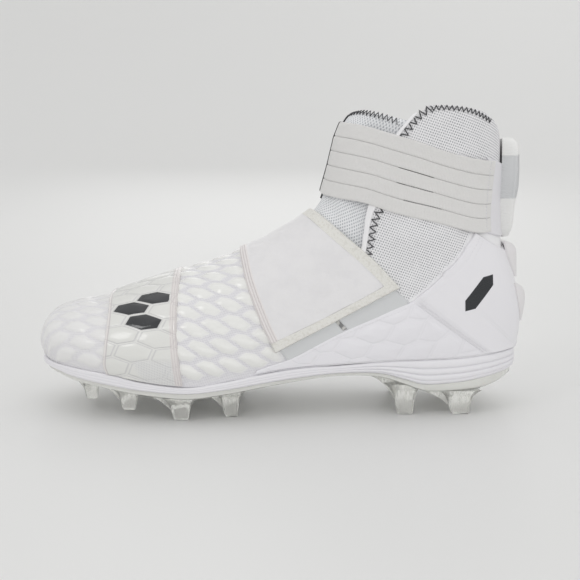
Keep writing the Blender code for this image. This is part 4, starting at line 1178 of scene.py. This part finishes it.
def build_band(finish):
    """Glossy forefoot band with domed cells."""
    t, v, lift, (front, rear, _, _) = overlay(FOREFOOT_BAND, np.linspace(0, 1, 321), spread(48))
    a, b = foot_place(t, v)
    cell = BAND_CELLS.depth(a, b)
    near = np.minimum(front, rear)
    relief = (0.30 * (1 - smoothstep(0.5, 1.0, cell)) - 0.22 * smoothstep(0.86, 0.98, cell)) * MM
    relief = relief * smoothstep(1.0 * MM, 4.0 * MM, near)
    pipe = MM * (0.45 * bell(rear, 1.2, 0.6) + 0.35 * bell(rear, 3.0, 0.6) + 0.40 * bell(front, 1.0, 0.6))
    cloth = smoothstep(0.80, 0.86, -v) * smoothstep(-90, -86, a - (b - 70) * 0.5)
    off = LAYER_GAP + lift + BAND_THICKNESS * rounded(near, 0.9 * MM) + relief * (1 - cloth) + pipe
    sheet = Sheet().grid(surface(t, v, off), surface(t, v, SEAT), foot=(a, b, 0.0),
                         rim=(front / MM, rear / MM, 0.0), zone=(cloth, 0.0, 0.0))
    sheet.solid("gloss_band", finish, ("forefoot_band",), "band_film")


def build_strap(finish):
    """Midfoot strap: piped front edge, raised woven border, faint waves."""
    t, v, lift, (front, rear, first, _) = overlay(MIDFOOT_STRAP, np.linspace(0, 1, 221), spread(72))
    near_end = np.clip(1 - np.linspace(0, 8, 221), 0, 1)[:, None] ** 1.5
    v = v + near_end * (STRAP_LOW.where("t", t, "v") - v[:1])
    edge = rounded(np.minimum(np.minimum(front, rear), first), 1.1 * MM)
    face = smoothstep(6.6 * MM, 7.8 * MM, np.minimum(rear, first - 0.5 * MM))
    pipe = 0.30 * MM * sum(bell(front, x, 0.55) for x in (1.0, 2.6, 4.2))
    wave_height = 0.45 * MM * (1 - smoothstep(0.20, 1.0, STRAP_CELLS.depth(*foot_place(t, v))))
    inset = -0.40 * MM * smoothstep(4.6 * MM, 6.5 * MM, front)
    off = LAYER_GAP + lift + STRAP_THICKNESS * edge
    off = off + (pipe + inset + wave_height * smoothstep(5 * MM, 10 * MM, front)) * face
    sheet = Sheet().grid(surface(t, v, off), surface(t, v, lift * 0.5 + SEAT),
                         place=(first / MM, front / MM, 0.0),
                         rim=(front / MM, rear / MM, first / MM))
    sheet.solid("instep_strap", finish, ("midfoot_strap",), "strap_fabric")


def build_ankle_strap(finish, dark):
    """Five crowned elastic bands with seams between them, slits beside the ankle, and dark sheets under
    the slits as painted shade.
    """
    f = spread(PER_BAND, 0.7)
    columns = np.concatenate([(k + SEAM_SHARE / 2 + f * (1 - SEAM_SHARE)) / BANDS
                              for k in range(BANDS)])
    columns[0], columns[-1] = 0.0, 1.0
    crown = np.tile(0.70 + 0.30 * np.sqrt(np.clip(1 - (2 * f - 1) ** 16, 0, 1)), BANDS)
    t, v, lift, (across, _, along, _) = overlay(ANKLE_STRAP, np.linspace(0, 1, STRAP_ROWS + 1),
                                                columns, even=True)
    last = len(ANKLE_STRAP.rows) - 1
    rows = np.linspace(0, last, STRAP_ROWS + 1)
    keep = np.ones((STRAP_ROWS, len(columns) - 1), bool)
    seam_line_and_slit_shade = np.zeros(t.shape)
    for k in range(BANDS - 1):
        seam = (k + 1) * (PER_BAND + 1) - 1
        seam_line_and_slit_shade[:, seam:seam + 2] = SEAM_TINT
        if k < len(SLIT_MIDDLES):
            on_row, on_face = (np.abs(np.minimum(r, last - r) - SLIT_MIDDLES[k]) < SLIT_HALF
                               for r in (rows, (rows[1:] + rows[:-1]) / 2))
            # The slits get the full dark tint: painted shade in the open slits.
            seam_line_and_slit_shade[on_row, seam:seam + 2] = 1.0
            keep[on_face, seam] = False
    tension = 0.04 * MM * np.sin(along / MM * 0.35 + across / MM * 1.1)
    off = LAYER_GAP + lift + crown * ELASTIC_THICKNESS + tension
    sheet = Sheet().grid(surface(t, v, off), surface(t, v, lift + SEAT), keep=keep,
                         place=(along / MM, across / MM, seam_line_and_slit_shade))
    sheet.solid("elastic_ankle_strap", finish, ("ankle_strap",), "elastic")
    # Dark sheets just under the slits: painted shade seen through them.
    lining = Sheet()
    for side in (0, 1):
        for k, middle in enumerate(SLIT_MIDDLES):
            span = (middle + np.linspace(-0.5, 0.5, 24)) / last
            t, v, lift, _ = overlay(ANKLE_STRAP, 1 - span if side else span,
                                    np.array([-0.006, 0.006]) + (k + 1) / BANDS, even=True)
            lining.grid(surface(t, v, lift + 0.45 * MM), surface(t, v, lift + 0.15 * MM))
    lining.solid("slit_shade_sheet", dark, (), "elastic")


def both_sides(name, table, columns, thickness, height, finish, node, slot):
    """An overlay and its mirror image, joined where they meet down the back of the heel."""
    t, v, lift, edges = overlay(table, np.linspace(0, 1, 150), columns)
    points = surface(t, v, thickness) / MM
    v = np.where((v <= -0.98) & (t >= HEEL_ROW), -1.0, v)
    sheet = Sheet()
    for side in (1, -1):
        sheet.grid(surface(t, side * v, LAYER_GAP + lift + height(*edges)),
                   surface(t, side * v, lift * 0.5 + SEAT), place=(points[..., 0], points[..., 2], 0.0))
    sheet.solid(name, finish, node, slot)


def anchor_height(front, rear, first, last):
    """Thickness of the strap anchor, round along its front and rear edges."""
    return ANCHOR_THICKNESS * rounded(np.minimum(front, rear), EDGE_ROUND)


def counter_height(front, rear, first, last):
    """Thickness of the counter: stitch grooves along its front edge and seam, thin at the seam."""
    edge = np.minimum(rounded(np.minimum(front, last), EDGE_ROUND),
                      0.75 + 0.25 * rounded(first, EDGE_ROUND))
    thin = 0.45 * (1 - smoothstep(0.5 * MM, 7.0 * MM, first))
    groove = 0.09 * MM * (bell(front, 4.6, 0.6) + bell(first, 4.6, 0.6))
    return COUNTER_THICKNESS * (edge - thin) - groove


def build_quarter(finish):
    """Quarter panel with low raised scales."""
    t, v, lift, (_, rear, _, last) = overlay(QUARTER_PANEL, np.linspace(0, 1, 200), spread(50))
    a, b = foot_place(t, v)
    inside = smoothstep(2 * MM, 6 * MM, np.minimum(rear, last)) * smoothstep(9.8, 10.8, t)
    relief = 0.42 * MM * (1 - smoothstep(0.25, 1.0, QUARTER_CELLS.depth(a, b))) * inside
    edge = np.minimum(rounded(rear, EDGE_ROUND), 0.8 + 0.2 * rounded(last, EDGE_ROUND))
    off = LAYER_GAP + lift + PANEL_THICKNESS * edge + relief
    sheet = Sheet().grid(surface(t, v, off), surface(t, v, SEAT), foot=(a, b, 0.0))
    sheet.solid("quarter_film", finish, ("quarter_panel_outer",), "quarter_film")


def build_patches(finish, backing):
    """The two loop patches and the mottled backing in the gap between them."""
    split, again = LOOP_PATCH_SPLIT
    for name, start, end, node in (
            ("loop_strip_front", 0.0, split, "loop_patch_front"),
            ("loop_strip_rear", again, len(LOOP_PATCH.rows) - 1, "loop_patch_rear")):
        t, v, _, edges = overlay(LOOP_PATCH, np.linspace(0, 1, 60), spread(16), start, end)
        edge = rounded(np.minimum.reduce(np.broadcast_arrays(*edges)), 0.5 * MM)
        sheet = Sheet().grid(surface(t, v, LAYER_GAP + PATCH_THICKNESS * edge), surface(t, v, SEAT))
        sheet.solid(name, finish, (node,), "loop_fabric")
    t, v, _, _ = overlay(LOOP_PATCH, np.linspace(0, 1, 12), np.linspace(0.1, 0.95, 14),
                         split - 0.02, again + 0.12)
    Sheet().grid(surface(t, v, 0.35 * MM), surface(t, v, 0.12 * MM)).solid(
        "loop_backing", backing, (), "loop_fabric")


def grey_band(z):
    """1 in the grey band of the heel tab, by height in metres."""
    start, end = GREY_BAND
    return smoothstep(*start, z) * (1 - smoothstep(*end, z))


def spine_piece(name, table, base, finish, node, slot, tab=False):
    """A crowned pad on the back centreline; the tab has piping and a grey band."""
    r = np.linspace(0, len(table.rows) - 1, 90)[:, None]
    c = np.linspace(-1, 1, 41)[None, :]
    t = table.at(r, "t") + 0 * c
    half = table.at(r, "half_v")
    v = np.where(c < -1e-9, -1 + half * -c, np.where(c > 1e-9, 1 - half * c, -1.0))
    if tab:
        crown = 1 - 0.22 * np.abs(c) ** 3 - 0.25 * smoothstep(0.90, 1.0, np.abs(c))
    else:
        top = np.clip((r / r[-1] - 0.62) / 0.38, 0, 1)
        crown = 0.06 + 0.94 * (1 - np.abs(c) ** 2.6) * np.sqrt(1 - top ** 2.4)
    thick = np.maximum(table.at(r, "thick"), 0.05) * TAB_THICKNESS * crown
    if tab:
        thick = thick + 0.6 * MM * np.exp(-((np.abs(c) - 0.93) / 0.04) ** 2)
    z = last_point(t, v)[..., 2]
    sheet = Sheet().grid(surface(t, v, base + thick), surface(t, v, base - SPINE_GAP),
                         place=(c * 14.0, z / MM, grey_band(z) if tab else 0.0))
    return sheet.solid(name, finish, node, slot)


def build_stitching(dark, pale):
    """Dark zigzag seams of the collar and tongue, and pale double rows on the heel's seams."""
    runs = [zigzag(flap_path(path, side), 0.45 * MM, width, pitch)
            for path, width, pitch in ((FLAP_SEAM, 5.0, 4.2), (FRONT_SEAM, 4.8, 4.4))
            for side in (-1, 1)]
    thread_piece("zigzag_seams", runs, 0.34 * MM, dark)
    runs = [zigzag(flap_path(RIM_SEAM, side), 0.45 * MM, 3.0, 3.1) for side in (-1, 1)]
    runs.append(zigzag(TONGUE_SEAM, 0.0, 3.6, 3.2))
    thread_piece("zigzag_rims", runs, 0.28 * MM, dark)
    # A thin dark tube down the front of the ankle strap: partly the dark edge there, partly painted shade
    # along the strap's front edge.
    t = np.linspace(13.4, 23.45, 120)
    strapped = smoothstep(13.9, 14.2, t) * (1 - smoothstep(21.95, 22.15, t))
    line = surface(t, 0.010, (LAYER_GAP + ELASTIC_THICKNESS) * strapped)
    thread_piece("front_shade_line", [line], 0.55 * MM, dark)
    on_counter = LAYER_GAP + COUNTER_THICKNESS
    rows = []
    for side in (-1, 1):
        for gap in (0.020, 0.034):
            rows += stitches(COUNTER_EDGE, side, on_counter, 2.4, 1.5, (0.0, gap))
        for shift in (0.10, 0.24):
            rows += stitches(COUNTER_SEAM, side, on_counter + 0.3 * MM, 2.4, 1.5, (shift, 0.0))
        rows += stitches(STRAP_SEAM, side, LAYER_GAP + ELASTIC_THICKNESS + 1.75 * MM, 1.9, 1.1)
    rows += stitches(QUARTER_SEAM, -1, LAYER_GAP + PANEL_THICKNESS, 2.4, 1.5)
    thread_piece("pale_seams", rows, 0.22 * MM, pale)


def build_binding(finish):
    """Pale binding along the front edges of the collar flaps, over the edge of the tongue."""
    sheet = Sheet()
    f = spread(10)[None, :]
    low = -BINDING_HEIGHT * (1 - f)
    rise = BINDING_HEIGHT * np.sqrt(np.clip(1 - (2 * f - 1) ** 6, 0, 1)) + low
    for side, end in ((-1, 25.1), (1, 25.1 - INNER_DROP_ROWS)):
        t = np.concatenate([np.linspace(11.3, 20.0, 90), np.linspace(20.1, end, 50)])[:, None]
        wide = 0.022 - 0.012 * smoothstep(20.5, 22.5, t)
        v = side * (throat_half(t) - wide + f * (wide + 0.006))
        sheet.grid(surface(t, v, rise + 0.25 * MM), surface(t, v, low - 0.4 * MM),
                   leg=(*leg_place(t, v), -50.0), foot=(0.0, 0.0, 0.0), zone=(1.0, 0.0, 0.0))
    sheet.solid("collar_binding", finish, (), "mesh_knit")


def add_paper(colour):
    """Pale paper that runs from the floor up a soft bend."""
    bend = np.radians(np.linspace(0, 90, 25))[1:]
    profile = [(-5.0, 0.0), (0.6, 0.0), *zip(0.6 + 2.2 * np.sin(bend), 2.2 * (1 - np.cos(bend))),
               (2.8, 5.0)]
    points = [(x, y, z) for y, z in profile for x in (-6.0, 6.0)]
    faces = [(2 * k, 2 * k + 1, 2 * k + 3, 2 * k + 2) for k in range(len(profile) - 1)]
    mesh = bpy.data.meshes.new("floor")
    mesh.from_pydata(points, [], faces)
    mesh.shade_smooth()
    floor = bpy.data.objects.new("floor", mesh)
    bpy.context.scene.collection.objects.link(floor)
    finish = Finish("floor_paper", colour, 0.45)
    finish.tint(tuple(0.97 * c for c in colour), finish.noise(0.4) * 0.3)
    mesh.materials.append(finish.material)


def frame_shift():
    """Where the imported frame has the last's origin, from the insole that both have."""
    ring = outline(lambda x: -(UPPER_WALL + 2 * CLEARANCE))
    low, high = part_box("insole")
    middle = (ring.min(axis=0) + ring.max(axis=0)) / 2
    return np.array([(low.x + high.x) / 2 - middle[0], (low.y + high.y) / 2 - middle[1], 0.0])


SHIFT = frame_shift()

# Camera: the photograph's view, in the frame of the last
CAMERA_PLACE = (0.007, -0.620, 0.170)
CAMERA_DOWN = 8.85
CAMERA_LENS = 61.0
SENSOR = 36.0

# Stage: colour of paper and surround, and square lamps with place, target, size and power
PAPER = (0.80, 0.80, 0.795)
LAMPS = (
    ("top_lamp", (0.0, 0.1, 1.5), (0, 0, 0.1), 1.6, 1.6),
    ("left_lamp", (-0.9, -0.9, 1.2), (0, 0, 0.05), 0.35, 1.4),
    ("right_lamp", (1.1, -1.2, 0.7), (0.05, 0, 0.05), 0.6, 0.8),
    ("front_lamp", (0.3, -2.2, 0.22), (0, 0, 0.04), 1.8, 6.2),
    ("back_lamp", (0.0, 1.0, 0.6), (0, 0, 0.0), 0.8, 1.2),
    ("wall_lamp", (0.9, 1.6, 1.7), (0.6, 2.4, 0.2), 1.0, 1.8),
)


def add_camera():
    """Camera at the photograph's angle."""
    data = bpy.data.cameras.new("camera")
    data.lens = CAMERA_LENS
    data.sensor_width = SENSOR
    camera = bpy.data.objects.new("camera", data)
    camera.location = np.array(CAMERA_PLACE) + SHIFT
    camera.rotation_euler = (math.radians(90 - CAMERA_DOWN), 0, 0)
    bpy.context.scene.collection.objects.link(camera)
    bpy.context.scene.camera = camera


def add_stage():
    """Paper, even light from all round and soft lamps."""
    add_paper(PAPER)
    world = bpy.data.worlds.new("studio")
    bpy.context.scene.world = world
    world.use_nodes = True
    world.node_tree.nodes["Background"].inputs["Color"].default_value = (*PAPER, 1.0)
    for name, place, target, size, power in LAMPS:
        data = bpy.data.lights.new(name, "AREA")
        data.size = size
        data.energy = power
        light = bpy.data.objects.new(name, data)
        light.location = place
        x, y, z = np.array(target, float) - place
        light.rotation_euler = (math.atan2(math.hypot(x, y), -z), 0, math.atan2(-x, y))
        bpy.context.scene.collection.objects.link(light)


def build_all():
    """Makes every piece of the shoe."""
    knit = knit_finish()
    build_upper(knit)
    build_tongue(tongue_finish())
    build_midsole(foam_finish())
    build_plate(clear_finish("milky_moulding", (0.96, 0.96, 0.92), 0.20, 0.25, 0.1),
                clear_finish("clear_moulding", (0.98, 0.98, 0.95), 0.05, 0.76, 1.1))
    build_insole(plain_finish("sock_black", (0.05, 0.05, 0.055), 0.85, 0.0010, 0.1))
    build_band(band_finish())
    build_strap(strap_finish())
    # The dark finish of the ankle strap is the painted shade under its slits.
    build_ankle_strap(elastic_finish(),
                      plain_finish("slit_shade_dark", (0.10, 0.10, 0.10), 0.9, 0.001, 0.05))
    both_sides("anchor_panel", STRAP_ANCHOR, spread(60), ANCHOR_THICKNESS, anchor_height,
               plain_finish("anchor_satin", (0.79, 0.78, 0.81), 0.42, 0.0008, 0.03,
                            Coat_Weight=0.2, Coat_Roughness=0.3), ("strap_anchor",), "anchor_film")
    both_sides("heel_film", HEEL_COUNTER, spread(80), COUNTER_THICKNESS, counter_height,
               counter_finish(), ("heel_counter",), "counter_film")
    build_quarter(film_finish("quarter_scales", (0.835, 0.825, 0.86), 0.38, QUARTER_CELLS, 0.05, 0.3))
    build_patches(loop_finish(), gap_finish())
    tab = spine_piece("heel_pull_tab", TAB, LAYER_GAP + ANCHOR_THICKNESS + SPINE_GAP, tab_finish(),
                      ("heel_tab",), "tab_webbing", tab=True)
    rubber = plain_finish("scale_grey", (0.80, 0.78, 0.79), 0.4, 0.0008, 0.03, Coat_Weight=0.2)
    for k, table in enumerate(HEEL_SCALES):
        spine_piece(f"heel_rib_{k + 1}", table, LAYER_GAP + COUNTER_THICKNESS + SPINE_GAP, rubber,
                    (f"heel_scale_{k + 1}",), "scale_rubber")
    build_stitching(plain_finish("dark_thread", (0.06, 0.06, 0.065), 0.7, 0.0004, 0.03),
                    plain_finish("pale_thread", (0.80, 0.79, 0.82), 0.6, 0.0004, 0.03))
    build_binding(knit)


add_camera()
build_all()
add_stage()
bpy.context.scene.view_settings.view_transform = "Standard"
bpy.context.scene.view_settings.look = "None"
